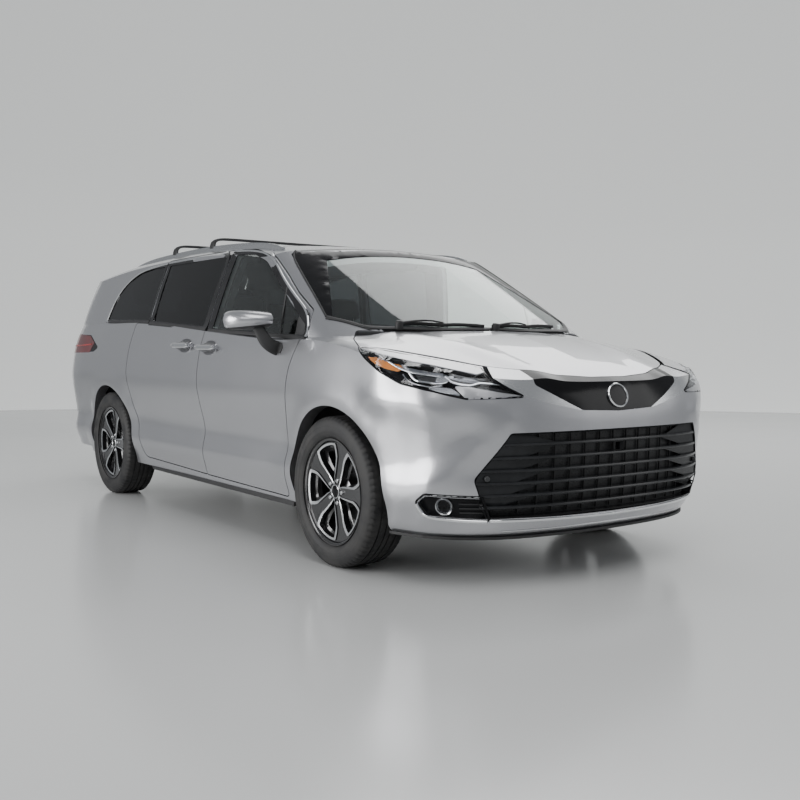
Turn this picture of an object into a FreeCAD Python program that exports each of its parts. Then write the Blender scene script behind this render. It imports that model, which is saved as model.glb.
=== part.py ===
import FreeCAD, Part
import math
import os
import re
from FreeCAD import Vector

doc = FreeCAD.newDocument("Minivan")

# Driving dimensions, millimetres and degrees. X runs forward, Y to the left and Z up.
# The origin is on the ground below the middle of the body.
sheet = doc.addObject("Spreadsheet::Sheet", "Sizes")
dimensions = {
    # Overall
    "bodyLength": 5184, "bodyWidth": 1993, "roofHeight": 1740, "wheelbase": 3060, "frontOverhang": 975,
    "trackWidth": 1724, "panelWall": 46, "sideWall": 62, "shutGap": 6, "pillarGap": 14,
    # Wheels
    "tyreRadius": 370, "tyreWidth": 235, "treadWidth": 188, "beadRadius": 254, "flangeRadius": 263,
    "barrelWall": 10, "hubRadius": 74, "spokeDepth": 30, "rimFace": 96, "hubFace": 78, "hubSeat": 45,
    "discRadius": 165, "discWidth": 26, "discSeat": 62,
    "archRadius": 422, "linerRadius": 456, "wheelhouseInner": 528, "rearHouseInner": 700,
    # Heights of the side
    "sillHeight": 262, "beltFront": 1126, "beltRear": 1252, "glassThickness": 6,
    # Front door
    "doorHingeX": 1092, "doorHingeY": 962,
    # Hood and tailgate hinges
    "hoodHingeX": 1480, "hoodHingeY": 751, "hoodHingeZ": 1120, "gateHingeX": 2162, "gateHingeY": 118,
    "gateHingeZ": 1677, "gateGap": 14, "runningFit": 0.4, "hingeRadius": 4,
    # Steering
    "strutTopY": 630, "strutTopZ": 915, "ballJointY": 740, "ballJointZ": 214, "strutRadius": 26,
    "springRadius": 62, "wheelTilt": 24, "steeringWheelX": 600, "steeringWheelY": 380, "steeringWheelZ": 985,
    "steeringWheelRadius": 186, "steeringRimRadius": 15,
    # Cabin
    "floorHeight": 330, "seatWidth": 510, "seatMiddle": 380, "seatFront": 130, "secondRow": -780, "secondWidth": 480,
    "secondMiddle": 400, "thirdRow": -1560, "thirdWidth": 1240, "rearFloor": 480,
    # Plain pieces under the body
    "engineBack": 1330, "engineLength": 620, "engineRight": -430, "engineWidth": 830, "engineBottom": 336,
    "engineHeight": 500, "tankBack": -900, "tankLength": 780, "tankRight": -420, "tankWidth": 580,
    "tankBottom": 170, "tankHeight": 120, "pipeRadius": 30, "pipeBack": -1950, "pipeLength": 3200, "pipeY": 230,
    "pipeZ": 228, "mufflerBack": -2330, "mufflerLength": 340, "mufflerWidth": 760, "mufflerBottom": 190,
    "mufflerHeight": 140, "hangerFront": 700, "hangerBack": -800, "hangerLength": 30, "hangerWidth": 16,
    "hangerTop": 290, "mufflerStemBack": -2200, "floorUnderTail": 350,
    # Roof rails and crossbars
    "barFront": -300, "barBack": -900, "barLength": 64, "barHalf": 694, "barBottom": 1768, "barHeight": 18,
    "railNear": 664, "railWidth": 30, "railTop": 1716,
}
for index, (name, value) in enumerate(dimensions.items()):
    cell = "B%d" % (index + 1)
    sheet.set("A%d" % (index + 1), name)
    sheet.set(cell, str(value))
    sheet.setAlias(cell, name)
doc.recompute()


def size(name):
    return float(sheet.get(name))


halfLength = size("bodyLength") / 2
halfWidth = size("bodyWidth") / 2
frontAxle = halfLength - size("frontOverhang")
rearAxle = frontAxle - size("wheelbase")
wheelY = size("trackWidth") / 2
wheelZ = size("tyreRadius")
wall = size("panelWall")
sideWall = size("sideWall")
gap = size("shutGap")


rowCount = 19
houseRowCount = 8
# Half-widths of the body side by height, less than the full half-width by these insets.
sideInsets = ((180, 96), (262, 74), (335, 56), (440, 32), (560, 46), (700, 24), (840, 4), (960, 12),
              (1050, 26), (1120, 44), (1200, 72), (1300, 112))
# Nose and tail insets from the ends of the body by height.
noseInsets = ((180, 150), (262, 62), (335, 26), (440, 8), (560, 2), (700, 0), (840, 14), (960, 60),
              (1050, 130), (1120, 200), (1200, 300), (1300, 420))
tailInsets = ((180, 130), (262, 66), (335, 32), (440, 8), (560, 0), (700, 6), (840, 14), (960, 22),
              (1050, 30), (1120, 40), (1200, 56), (1300, 90))
# Plan of a body row: share of the half-width, then the distance back from the end.
noseCorner = ((0, 0), (0.25, 9), (0.5, 40), (0.68, 92), (0.82, 178), (0.92, 300), (0.975, 460))
tailCorner = ((0, 0), (0.3, 4), (0.6, 22), (0.78, 60), (0.9, 130), (0.965, 240), (0.99, 380))
noseShares = (0, 0.1, 0.2, 0.3, 0.4, 0.48, 0.56, 0.62, 0.68, 0.74, 0.79, 0.84, 0.88, 0.92, 0.95, 0.975)
sideStations = (1970, 1880, 1790, 1700, 1610, 1520, 1430, 1340, 1250, 1150, 1000, 820, 620, 420, 200, 0, -200,
                -420, -620, -820, -960, -1070, -1170, -1260, -1350, -1440, -1530, -1620, -1710, -1800, -1900, -2010)
# Forms raised on the skin or pressed into it: a line of points, the height outwards and the half-width.
forms = (
    # Edge from the headlamp's lower tip to the grille's shoulder, and back down to the fog lamp
    (((2400, 800, 892), (2470, 716, 830), (2512, 640, 764), (2466, 730, 650), (2390, 806, 570), (2300, 878, 500)),
     13, 62),
    # Hollow behind that edge
    (((2200, 925, 690), (2330, 870, 650), (2400, 810, 690)), -15, 115),
    # Level crease from the front arch to the edge
    (((1990, 970, 850), (2147, 962, 834), (2348, 866, 786), (2470, 730, 766)), 8, 50),
    # Lips of the two arches
    (((1178, 960, 340), (1200, 960, 480), (1262, 960, 620), (1366, 960, 730), (1490, 960, 790), (1617, 960, 808),
      (1744, 960, 790), (1868, 960, 730), (1972, 960, 620), (2034, 960, 480), (2056, 960, 340)), 13, 62),
    (((-1882, 960, 340), (-1860, 960, 480), (-1798, 960, 620), (-1694, 960, 730), (-1570, 960, 790),
      (-1443, 960, 808), (-1316, 960, 790), (-1192, 960, 730), (-1088, 960, 620), (-1026, 960, 480),
      (-1004, 960, 340)), 13, 62),
    # Haunch over the rear wheel and the shoulder of the front wing
    (((-1950, 960, 960), (-1500, 960, 950), (-1100, 960, 900)), 9, 150),
    (((1300, 960, 960), (1650, 960, 960), (1900, 960, 930)), 7, 130),
    # Hollow along the doors
    (((-820, 960, 620), (200, 960, 600), (1000, 960, 640)), -9, 130),
)
# How the side draws in towards the ends, as a share of the width.
sideTaper = ((-1900, 0.996), (-1600, 1.0), (-1250, 0.997), (-800, 0.99), (-300, 0.986), (200, 0.987),
             (700, 0.988), (1150, 0.989), (1500, 0.994), (1850, 0.985))


def smooth(table, x):
    """Smooth value at x through a list of (x, value) in rising or falling order."""
    points = sorted(table)
    x = min(max(x, points[0][0]), points[-1][0])
    slopes = []
    for i in range(len(points)):
        low = points[max(i - 1, 0)]
        high = points[min(i + 1, len(points) - 1)]
        slopes.append((high[1] - low[1]) / (high[0] - low[0]))
    for i in range(len(points) - 1):
        x0, v0 = points[i]
        x1, v1 = points[i + 1]
        if x <= x1:
            span = x1 - x0
            s = (x - x0) / span
            return ((2 * s ** 3 - 3 * s ** 2 + 1) * v0 + (s ** 3 - 2 * s ** 2 + s) * span * slopes[i]
                    + (3 * s ** 2 - 2 * s ** 3) * v1 + (s ** 3 - s ** 2) * span * slopes[i + 1])
    return points[-1][1]


def mirrored(points):
    """A whole ring from the left half, tail centre to nose centre, with an overlap past the tail."""
    right = [Vector(p.x, -p.y, p.z) for p in reversed(points[1:-1])]
    ring = points + right
    return ring[-3:] + ring + ring[:4]


def halfSkinSolid(rows):
    """Closed left half between a skin through the rows and the middle plane."""
    grid = [mirrored(row) for row in rows]
    surface = Part.BSplineSurface()
    surface.interpolate(grid)
    low = surface.getVKnot(4)
    high = surface.getVKnot(3 + len(rows[0]))
    first, last, _, _ = surface.bounds()
    surface.segment(first, last, low, high)
    skin = surface.toShape()
    bottom = min(rows[0], key=lambda p: p.z).z
    top = max(rows[-1], key=lambda p: p.z).z
    faces = [skin]
    level = {}
    for edge in skin.Edges:
        box = edge.BoundBox
        if abs(box.ZMin - bottom) < 0.01 and abs(box.ZMax - bottom) < 0.01:
            level["bottom"] = edge
        elif abs(box.ZMin - top) < 0.01 and abs(box.ZMax - top) < 0.01:
            level["top"] = edge
        elif box.XMax < 0:
            level["tail"] = edge
        else:
            level["nose"] = edge
    lines = {}
    for key in ("bottom", "top"):
        ends = [v.Point for v in level[key].Vertexes]
        lines[key] = Part.makeLine(ends[0], ends[1])
        faces.append(Part.Face(Part.Wire(Part.__sortEdges__([level[key], lines[key]]))))
    middle = [level["tail"], lines["bottom"], level["nose"], lines["top"]]
    faces.append(Part.Face(Part.Wire(Part.__sortEdges__(middle))))
    shell = Part.Shell(faces)
    shell.sewShape()
    solid = Part.Solid(Part.Shell(shell.Faces))
    if solid.Volume < 0:
        solid.reverse()
    return solid


def reach(point, start, finish):
    """Distance from a point to a straight run."""
    line = finish - start
    along = max(0.0, min(1.0, (point - start).dot(line) / line.dot(line)))
    return (point - start - line * along).Length


formRuns = [([Vector(*corner) for corner in line], height, width) for line, height, width in forms]


def raised(point):
    """Height of the forms over the plain skin at a point."""
    total = 0
    for line, height, width in formRuns:
        nearest = min(reach(point, a, b) for a, b in zip(line, line[1:]))
        if nearest < 2.2 * width:
            total += height * math.exp(-(nearest / width) ** 2)
    return total


def plainRow(level, inset):
    """Half a ring of the body at a level, tail to nose, without the forms."""
    width = halfWidth - smooth(sideInsets, level) - inset
    nose = halfLength - smooth(noseInsets, level) - inset
    tail = -halfLength + smooth(tailInsets, level) + inset
    height = level + inset * (1 - (level - sideInsets[0][0]) / (sideInsets[-1][0] - sideInsets[0][0]))
    row = [Vector(tail + back, width * share, height) for share, back in tailCorner]
    row += [Vector(x, width * smooth(sideTaper, x), height) for x in reversed(sideStations)]
    row += [Vector(nose - smooth(noseCorner, share), width * share, height) for share in reversed(noseShares)]
    return row


def bodyRows(inset):
    rows = []
    low = sideInsets[0][0]
    high = sideInsets[-1][0]
    for i in range(rowCount + 1):
        level = low + (high - low) * i / rowCount
        outline = plainRow(level, 0)
        row = plainRow(level, inset)
        for k in range(1, len(row) - 1):
            along = outline[k + 1] - outline[k - 1]
            out = Vector(-along.y, along.x, 0)
            out.normalize()
            row[k] = row[k] + out * raised(outline[k])
        rows.append(row)
    return rows


# Height of the hood and shoulder line along the middle, its crown at the shoulder and the fall outside it.
hoodLine = ((-2700, 1276, 24, 40), (-1662, 1276, 24, 40), (-837, 1266, 24, 40), (-28, 1216, 26, 40),
            (967, 1164, 30, 42), (1310, 1174, 38, 46), (1440, 1190, 52, 50), (1640, 1174, 56, 52),
            (1820, 1148, 58, 54), (2000, 1112, 56, 55), (2200, 1058, 50, 55), (2400, 990, 40, 50),
            (2520, 938, 30, 40), (2600, 892, 24, 35), (2700, 820, 20, 30))
hoodShares = ((0, 0, 0), (0.4, 0.25, 0), (0.75, 0.86, 0), (0.88, 1, 0.12), (0.95, 1, 0.5), (1.02, 1, 1.2),
              (1.12, 1, 2.4))
# The same for the roof, whose shares are of the roof's own half-width.
roofLine = ((1100, 1570, 40, 40), (900, 1630, 40, 42), (700, 1668, 40, 44), (500, 1694, 40, 46),
            (200, 1722, 40, 48), (-300, 1740, 40, 48), (-900, 1738, 40, 48), (-1500, 1722, 42, 48),
            (-2000, 1693, 46, 48), (-2350, 1662, 48, 48), (-2600, 1630, 48, 48))
roofHalfWidth = 785
# Greenhouse rows: height, windscreen at the middle, half-width, tailgate at the middle.
houseLine = ((1000, 1930, 932, -2562), (1180, 1640, 904, -2545), (1400, 1264, 856, -2474), (1640, 846, 790, -2352),
             (1800, 566, 742, -2262))
screenCorner = ((0, 0), (0.3, 14), (0.6, 62), (0.8, 124), (0.92, 190), (0.98, 270), (1, 420))
gateCorner = ((0, 0), (0.35, 8), (0.65, 34), (0.85, 92), (0.95, 170), (0.99, 290))
houseStations = (-2000, -1500, -1000, -500, 0)


# Crease of the hood: its distance from the middle by station, its height and its half-width.
creaseLine = ((-2700, 640), (1300, 640), (1600, 600), (2000, 500), (2300, 440), (2560, 400), (2700, 400))
hoodCrease = 9
creaseWidth = 70
crownColumns = 14


def crownSolid(line, reach, drop):
    """Everything above a crowned surface that runs the length of the body."""
    heights = [(x, height) for x, height, crown, fall in line]
    crowns = [(x, crown) for x, height, crown, fall in line]
    falls = [(x, fall) for x, height, crown, fall in line]
    rises = [(share, rise) for share, rise, outer in hoodShares]
    outers = [(share, outer) for share, rise, outer in hoodShares]
    start = min(x for x, _ in heights)
    finish = max(x for x, _ in heights)
    count = round((finish - start) / 150)
    grid = []
    for i in range(count + 1):
        x = start + (finish - start) * i / count
        row = []
        for k in range(-crownColumns, crownColumns + 1):
            share = hoodShares[-1][0] * abs(k) / crownColumns
            height = smooth(heights, x) - drop - smooth(crowns, x) * smooth(rises, share)
            if line is hoodLine:
                height += hoodCrease * math.exp(-((share * reach - smooth(creaseLine, x)) / creaseWidth) ** 2)
            row.append(Vector(x, math.copysign(share * reach, k), height - smooth(falls, x) * smooth(outers, share)))
        grid.append(row)
    surface = Part.BSplineSurface()
    surface.interpolate(grid)
    return surface.toShape().extrude(Vector(0, 0, 900))


def houseRows(inset):
    screens = [(height, screen) for height, screen, width, tail in houseLine]
    widths = [(height, width) for height, screen, width, tail in houseLine]
    tails = [(height, tail) for height, screen, width, tail in houseLine]
    low = houseLine[0][0]
    high = houseLine[-1][0]
    rows = []
    for i in range(houseRowCount + 1):
        height = low + (high - low) * i / houseRowCount
        width = smooth(widths, height) - inset
        nose = smooth(screens, height) - inset * 1.6
        tail = smooth(tails, height) + inset * 1.05
        row = [Vector(tail + back, width * share, height) for share, back in gateCorner]
        row += [Vector(x, width, height) for x in houseStations]
        row += [Vector(nose - back, width * share, height) for share, back in reversed(screenCorner)]
        rows.append(row)
    return rows


def bodyHalf(lowerInset, upperInset):
    lower = halfSkinSolid(bodyRows(lowerInset)).cut(crownSolid(hoodLine, halfWidth, lowerInset))
    upper = halfSkinSolid(houseRows(upperInset)).cut(crownSolid(roofLine, roofHalfWidth, upperInset))
    return lower.fuse(upper)



def rounded(points, place):
    """Closed wire with rounded corners from (u, v, radius); place turns u and v into a Vector."""
    count = len(points)
    edges = []
    ends = []
    for i in range(count):
        u, v, radius = points[i]
        pu, pv, _ = points[i - 1]
        nu, nv, _ = points[(i + 1) % count]
        before = math.hypot(pu - u, pv - v)
        after = math.hypot(nu - u, nv - v)
        a = ((pu - u) / before, (pv - v) / before)
        b = ((nu - u) / after, (nv - v) / after)
        if radius <= 0:
            ends.append(((u, v), (u, v), None))
            continue
        turn = math.acos(max(-1.0, min(1.0, a[0] * b[0] + a[1] * b[1])))
        radius = min(radius, 0.45 * min(before, after) * math.tan(turn / 2))
        reach = radius / math.tan(turn / 2)
        bisect = (a[0] + b[0], a[1] + b[1])
        length = math.hypot(*bisect)
        away = radius / math.sin(turn / 2) - radius
        middle = (u + bisect[0] / length * away, v + bisect[1] / length * away)
        ends.append(((u + a[0] * reach, v + a[1] * reach), (u + b[0] * reach, v + b[1] * reach), middle))
    for i in range(count):
        start, finish, middle = ends[i]
        if middle:
            edges.append(Part.Arc(place(*start), place(*middle), place(*finish)).toShape())
        following = ends[(i + 1) % count][0]
        if math.hypot(following[0] - finish[0], following[1] - finish[1]) > 1e-6:
            edges.append(Part.makeLine(place(*finish), place(*following)))
    return Part.Wire(edges)


def sidePrism(points, near=60, far=1200):
    """Prism along Y from an outline in X and Z."""
    wire = rounded(points, lambda x, z: Vector(x, near, z))
    return Part.Face(wire).extrude(Vector(0, far - near, 0))


def planPrism(points, low, high, lean=0):
    """Prism upwards from an outline in X and Y, leaning forward by lean for each millimetre."""
    wire = rounded(points, lambda x, y: Vector(x, y, low))
    return Part.Face(wire).extrude(Vector(lean * (high - low), 0, high - low))


def endPrism(points, back, front):
    """Prism along X from an outline in Y and Z."""
    wire = rounded(points, lambda y, z: Vector(back, y, z))
    return Part.Face(wire).extrude(Vector(front - back, 0, 0))


def grown(points, by):
    """The outline moved outwards by a distance, keeping its corners."""
    count = len(points)
    area = sum(points[i][0] * points[(i + 1) % count][1] - points[(i + 1) % count][0] * points[i][1]
               for i in range(count))
    turn = 1 if area > 0 else -1
    result = []
    for i in range(count):
        u, v, radius = points[i]
        pu, pv, _ = points[i - 1]
        nu, nv, _ = points[(i + 1) % count]
        before = math.hypot(u - pu, v - pv)
        after = math.hypot(nu - u, nv - v)
        n1 = ((v - pv) / before * turn, -(u - pu) / before * turn)
        n2 = ((nv - v) / after * turn, -(nu - u) / after * turn)
        share = 1 + n1[0] * n2[0] + n1[1] * n2[1]
        move = ((n1[0] + n2[0]) / share * by, (n1[1] + n2[1]) / share * by)
        result.append((u + move[0], v + move[1], max(radius + by, 1) if radius else 0))
    return result


def mirror(shape):
    return shape.mirror(Vector(0, 0, 0), Vector(0, 1, 0))


def whole(half):
    return half.fuse(mirror(half)).removeSplitter()


def cylinderY(radius, near, far, x, z):
    return Part.makeCylinder(radius, far - near, Vector(x, near, z), Vector(0, 1, 0))


def boxAt(x0, x1, y0, y1, z0, z1):
    return Part.makeBox(x1 - x0, y1 - y0, z1 - z0, Vector(x0, y0, z0))


def largest(shape):
    return max(shape.Solids, key=lambda solid: solid.Volume)


nodes = {}


def piece(name, shape):
    item = doc.addObject("Part::Feature", name)
    item.Label = name
    item.Shape = shape
    nodes[name] = item
    return item


belt = ((-1700, 1252), (-850, 1236), (-28, 1184), (281, 1168), (967, 1124), (1270, 1118))
frontDoorOutline = [(1128, 284, 30), (1150, 641, 600), (1212, 960, 300), (1282, 1112, 60), (1304, 1176, 24),
                    (1262, 1262, 60), (1080, 1362, 400), (905, 1470, 400), (690, 1594, 500), (520, 1648, 300),
                    (216, 1660, 24), (98, 1178, 200), (88, 900, 500), (106, 600, 300), (112, 298, 12)]
slidingDoorOutline = [(92, 1178, 200), (82, 900, 500), (100, 600, 300), (106, 299, 12), (-850, 322, 60),
                      (-905, 452, 200), (-1012, 702, 300), (-1052, 900, 300), (-1066, 1236, 20), (-846, 1228, 20),
                      (-756, 1652, 30), (205, 1660, 24)]
frontGlassOutline = [(1262, 1132, 12), (1270, 1190, 30), (1050, 1322, 500), (880, 1434, 300), (676, 1560, 300),
                     (500, 1616, 200), (276, 1626, 16), (158, 1180, 12)]
slidingGlassOutline = [(30, 1196, 12), (162, 1622, 20), (-724, 1624, 20), (-798, 1244, 12)]
quarterGlassOutline = [(-876, 1250, 12), (-790, 1622, 20), (-1000, 1622, 300), (-1236, 1602, 400), (-1450, 1540, 300),
                       (-1600, 1440, 200), (-1700, 1272, 16)]

# The panels are cut from the wall between the outer form and the cabin.
outer = bodyHalf(0, 0)
inner = bodyHalf(sideWall, wall)
arches = cylinderY(size("archRadius"), 640, 1200, frontAxle, wheelZ)
arches = arches.fuse(cylinderY(size("archRadius"), 640, 1200, rearAxle, wheelZ))
underCut = boxAt(-1960, 2000, -10, 1200, 0, size("sillHeight")).fuse(boxAt(-2800, -1955, -10, 1200, 0, 300))
underCut = underCut.fuse(boxAt(1995, 2800, -10, 1200, 0, 226))
solidHalf = outer.cut(arches.fuse(underCut))
shell = solidHalf.cut(inner)

hoodPlan = [(1690, -200, 0), (1690, 60, 0), (1660, 300, 200), (1590, 600, 200), (1506, 764, 20), (1640, 858, 200),
            (1786, 917, 30), (2060, 780, 600), (2331, 616, 600), (2437, 466, 300), (2506, 305, 200), (2542, 110, 200),
            (2548, -200, 0)]
hoodLean = 0.3
hoodBase = 700
hoodReference = 1060


def leaned(points, reference):
    """The outline brought back so that a leaning prism meets it at the reference height."""
    return [(x - hoodLean * (reference - hoodBase), y, r) for x, y, r in points]


hoodCut = planPrism(leaned(hoodPlan, hoodReference), hoodBase, 1400, hoodLean)
hoodGap = planPrism(leaned(grown(hoodPlan, gap), hoodReference), hoodBase, 1400, hoodLean)
screenPlan = [(890, -200, 0), (890, 560, 40), (1380, 830, 60), (1560, 690, 60), (1660, 300, 60), (1668, -200, 0)]
screenCut = planPrism(screenPlan, 1150, 1900)
gateOutline = [(-100, 660, 0), (700, 660, 40), (770, 800, 60), (800, 1000, 60), (760, 1240, 200), (650, 1560, 100),
               (615, 1800, 0), (-100, 1800, 0)]
gateDraft = 0.4
gateDraftFrom = 1100
gateDraftAt = -2500


def draftedPrism(points, back, front):
    """Prism along X whose upper sides draw in towards the front."""
    wires = []
    for x in (back, front):
        moved = []
        for y, z, radius in points:
            share = min(max((z - gateDraftFrom) / 100, 0), 1) if y > 0 else 0
            moved.append((y + share * gateDraft * (gateDraftAt - x), z, radius))
        wires.append(rounded(moved, lambda y, z: Vector(x, y, z)))
    return Part.makeLoft(wires, True, True)


gateFront = -size("gateHingeX") - size("gateGap") / 2
gateCut = draftedPrism(gateOutline, -2800, gateFront)
gateGap = draftedPrism(grown(gateOutline, gap), -2800, gateFront + size("gateGap"))
gateGlassOutline = [(-100, 1180, 0), (640, 1180, 60), (585, 1530, 60), (-100, 1545, 0)]
gateGlassCut = endPrism(gateGlassOutline, -2800, -2200)
doorNear = 715
doorCut = sidePrism(frontDoorOutline, doorNear)
doorGap = sidePrism(grown(frontDoorOutline, gap), doorNear)
slidingCut = sidePrism(slidingDoorOutline, doorNear)
slidingGap = sidePrism(grown(slidingDoorOutline, gap), doorNear)
frontWindow = sidePrism(frontGlassOutline, 600)
slidingWindow = sidePrism(slidingGlassOutline, 600)
quarterWindow = sidePrism(quarterGlassOutline, 600)


def diagonalPrism(points, angle, near, far):
    """Prism along a level direction at an angle from X, from an outline in the plane across it."""
    turn = math.radians(angle)
    along = Vector(math.cos(turn), math.sin(turn), 0)
    across = Vector(-math.sin(turn), math.cos(turn), 0)
    wire = rounded(points, lambda u, v: along * near + across * u + Vector(0, 0, v))
    return Part.Face(wire).extrude(along * (far - near))


lampAngle = 60
lampOutline = [(-1090, 1080, 10), (-1130, 1052, 20), (-1169, 1025, 30), (-1278, 964, 60), (-1401, 913, 100),
               (-1552, 886, 100), (-1710, 852, 60), (-1926, 858, 10), (-1711, 1000, 0), (-1700, 1200, 0),
               (-1085, 1200, 0)]
lampCut = diagonalPrism(lampOutline, lampAngle, 900, 2600)

doorInner = bodyHalf(sideWall - 8, wall - 8)
doorBand = solidHalf.cut(doorInner)
frontDoorHalf = largest(doorBand.common(doorCut).cut(frontWindow))
slidingDoorHalf = largest(doorBand.common(slidingCut).cut(slidingWindow))
greenhouse = halfSkinSolid(houseRows(0))
hoodBand = shell.common(boxAt(1300, 2700, -10, 1000, 840, 1400)).cut(greenhouse)
hoodHalf = largest(hoodBand.common(hoodCut))
gateHalf = largest(doorBand.common(gateCut).cut(gateGlassCut))

glassBand = bodyHalf(3, 3).cut(bodyHalf(3 + size("glassThickness"), 3 + size("glassThickness")))
frontGlassHalf = largest(glassBand.common(sidePrism(grown(frontGlassOutline, -0.3), 600)))
slidingGlassHalf = largest(glassBand.common(sidePrism(grown(slidingGlassOutline, -0.3), 600)))
quarterGlassHalf = largest(glassBand.common(sidePrism(grown(quarterGlassOutline, -0.3), 600)))
upperBand = glassBand.common(boxAt(600, 2000, -10, 1000, 1140, 1800)).common(greenhouse)
screenHalf = largest(upperBand.common(planPrism(grown(screenPlan, -0.3), 1150, 1900)))
gateGlassHalf = largest(glassBand.common(endPrism(grown(gateGlassOutline, -0.3), -2800, -2200)))

rest = shell.cut(doorGap).cut(slidingGap).cut(hoodGap).cut(gateGap).cut(quarterWindow).cut(screenCut)
roofPlan = [(gateFront + 1, -200, 0), (1100, -200, 0), (1100, 560, 0), (890, 640, 0), (700, 690, 200),
            (gateFront + 1, 680, 0)]
roofCut = planPrism(roofPlan, 1560, 1900)
roofHalf = largest(rest.common(roofCut))
rest = rest.cut(roofCut)
rearBumperCut = sidePrism([(-2800, 100, 0), (-1700, 100, 0), (-1700, 760, 0), (-1830, 766, 20), (-1985, 792, 100),
                           (-2200, 796, 0), (-2800, 796, 0)], -100)
rearBumperHalf = largest(rest.common(rearBumperCut))
rest = rest.cut(rearBumperCut)
tailLampOutline = [(-1676, 1066, 10), (-1928, 1160, 60), (-2700, 1180, 0), (-2700, 1010, 0), (-1760, 1034, 60)]
tailLampCut = sidePrism(tailLampOutline, 500)
tailLampHalf = largest(rest.common(tailLampCut))
rest = rest.cut(tailLampCut)
frontCut = sidePrism([(1100, 100, 0), (1100, 1200, 0), (1300, 1192, 0), (1420, 1236, 0), (1420, 1500, 0),
                      (2800, 1500, 0), (2800, 100, 0)], -100)
front = rest.common(frontCut)
sideHalf = largest(rest.cut(frontCut))
headlampHalf = largest(front.common(lampCut))
front = front.cut(lampCut)
fenderCut = sidePrism([(1000, 100, 0), (1000, 1500, 0), (1972, 1500, 0), (1972, 846, 20), (1850, 758, 20),
                       (1700, 700, 0), (1500, 100, 0)], 640)
fenderHalf = largest(front.common(fenderCut))
front = front.cut(fenderCut)
front = front.cut(boxAt(1300, 1800, -10, 700, 1000, 1300))
garnishOutline = [(-1700, 1000, 0), (-1920, 1000, 0), (-2130, 801, 0), (-2110, 796, 0), (-1926, 858, 0)]
grillePanelOutline = [(-50, 784, 0), (230, 795, 20), (353, 852, 30), (471, 911, 20), (466, 1100, 0), (-50, 1100, 0)]
grilleOutline = [(-50, 318, 0), (330, 320, 0), (690, 328, 20), (722, 400, 20), (752, 500, 40), (612, 704, 20),
                 (-50, 706, 0)]
fogOutline = [(-1478, 388, 16), (-1525, 424, 16), (-1765, 418, 6), (-1782, 324, 6), (-1514, 335, 24)]
fogDepth = 26
grillePanelCut = endPrism(grillePanelOutline, 2300, 2700)
grillePanelHalf = largest(front.common(grillePanelCut))
front = front.cut(grillePanelCut)
garnishCut = diagonalPrism(garnishOutline, lampAngle, 900, 2700)
garnishHalf = largest(front.common(garnishCut))
front = front.cut(garnishCut)
fogCut = diagonalPrism(fogOutline, lampAngle, 1300, 2700)
fogHalf = largest(front.common(fogCut))
front = front.cut(fogCut)
turn = math.radians(lampAngle)
fogHalf.translate(Vector(-math.cos(turn), -math.sin(turn), 0) * fogDepth)
grilleCut = endPrism(grilleOutline, 2300, 2700)
steerPlan = [(1950, 640, 0), (2058, 640, 0), (2058, 800, 0), (2048, 850, 0), (2036, 890, 0), (2018, 928, 0),
             (1950, 928, 0)]
steerRoom = planPrism(steerPlan, 150, 330)
frontBumperHalf = largest(front.cut(grilleCut).cut(steerRoom))
turnedTyreRear = 1192
turnedTyreOut = 884
fenderHalf = largest(fenderHalf.cut(boxAt(turnedTyreRear, frontAxle, 640, turnedTyreOut, 150, 330)))


slatLow = 372
slatPitch = 46
slatHeight = 20
slatCount = 7
grilleLow = 250
grilleHigh = 760


def slats(band):
    """Lower grille: its frame and the level slats that are left when the openings between them are cut."""
    opening = endPrism([(y, z, 0) for y, z, radius in grown(grilleOutline, -18)], 2200, 2800)
    levels = [grilleLow]
    for i in range(slatCount):
        levels += [slatLow + slatPitch * i, slatLow + slatPitch * i + slatHeight]
    levels.append(grilleHigh)
    shape = largest(band)
    for low, high in zip(levels[::2], levels[1::2]):
        shape = shape.cut(opening.common(boxAt(2200, 2700, -60, 900, low, high)))
    return largest(shape)


grilleHalf = slats(front.common(grilleCut))
gateLampHalf = largest(gateHalf.common(tailLampCut))
gateHalf = largest(gateHalf.cut(tailLampCut))

pillarCore = inner.cut(bodyHalf(sideWall + 44, wall + 44))
pillarHalf = pillarCore.common(sidePrism([(20, 300, 0), (160, 300, 0), (170, 1180, 60), (300, 1700, 0),
                                          (170, 1700, 0), (30, 1180, 60)], 640))
pillarHalf = largest(pillarHalf)


def plate(points, half, name=None):
    """Plate from an outline in X and Z that runs across the body."""
    wire = rounded(points, lambda x, z: Vector(x, -half, z))
    return Part.Face(wire).extrude(Vector(0, 2 * half, 0))


def both(shape):
    return Part.makeCompound([shape, mirror(shape)])


wholeInner = inner.fuse(mirror(inner))
linerOuter = size("linerRadius")
linerWall = 6
frontInner = size("wheelhouseInner")
rearInner = size("rearHouseInner")
wheelhouses = Part.makeCompound([])
houseCut = cylinderY(linerOuter, frontInner, 1200, frontAxle, wheelZ)
houseCut = houseCut.fuse(cylinderY(linerOuter, rearInner, 1200, rearAxle, wheelZ))
houseCut = houseCut.fuse(boxAt(frontAxle - linerOuter, frontAxle + linerOuter, frontInner, 1200, 0, wheelZ))
houseCut = houseCut.fuse(boxAt(rearAxle - linerOuter, rearAxle + linerOuter, rearInner, 1200, 0, wheelZ))
bothHouses = houseCut.fuse(mirror(houseCut))

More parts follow.
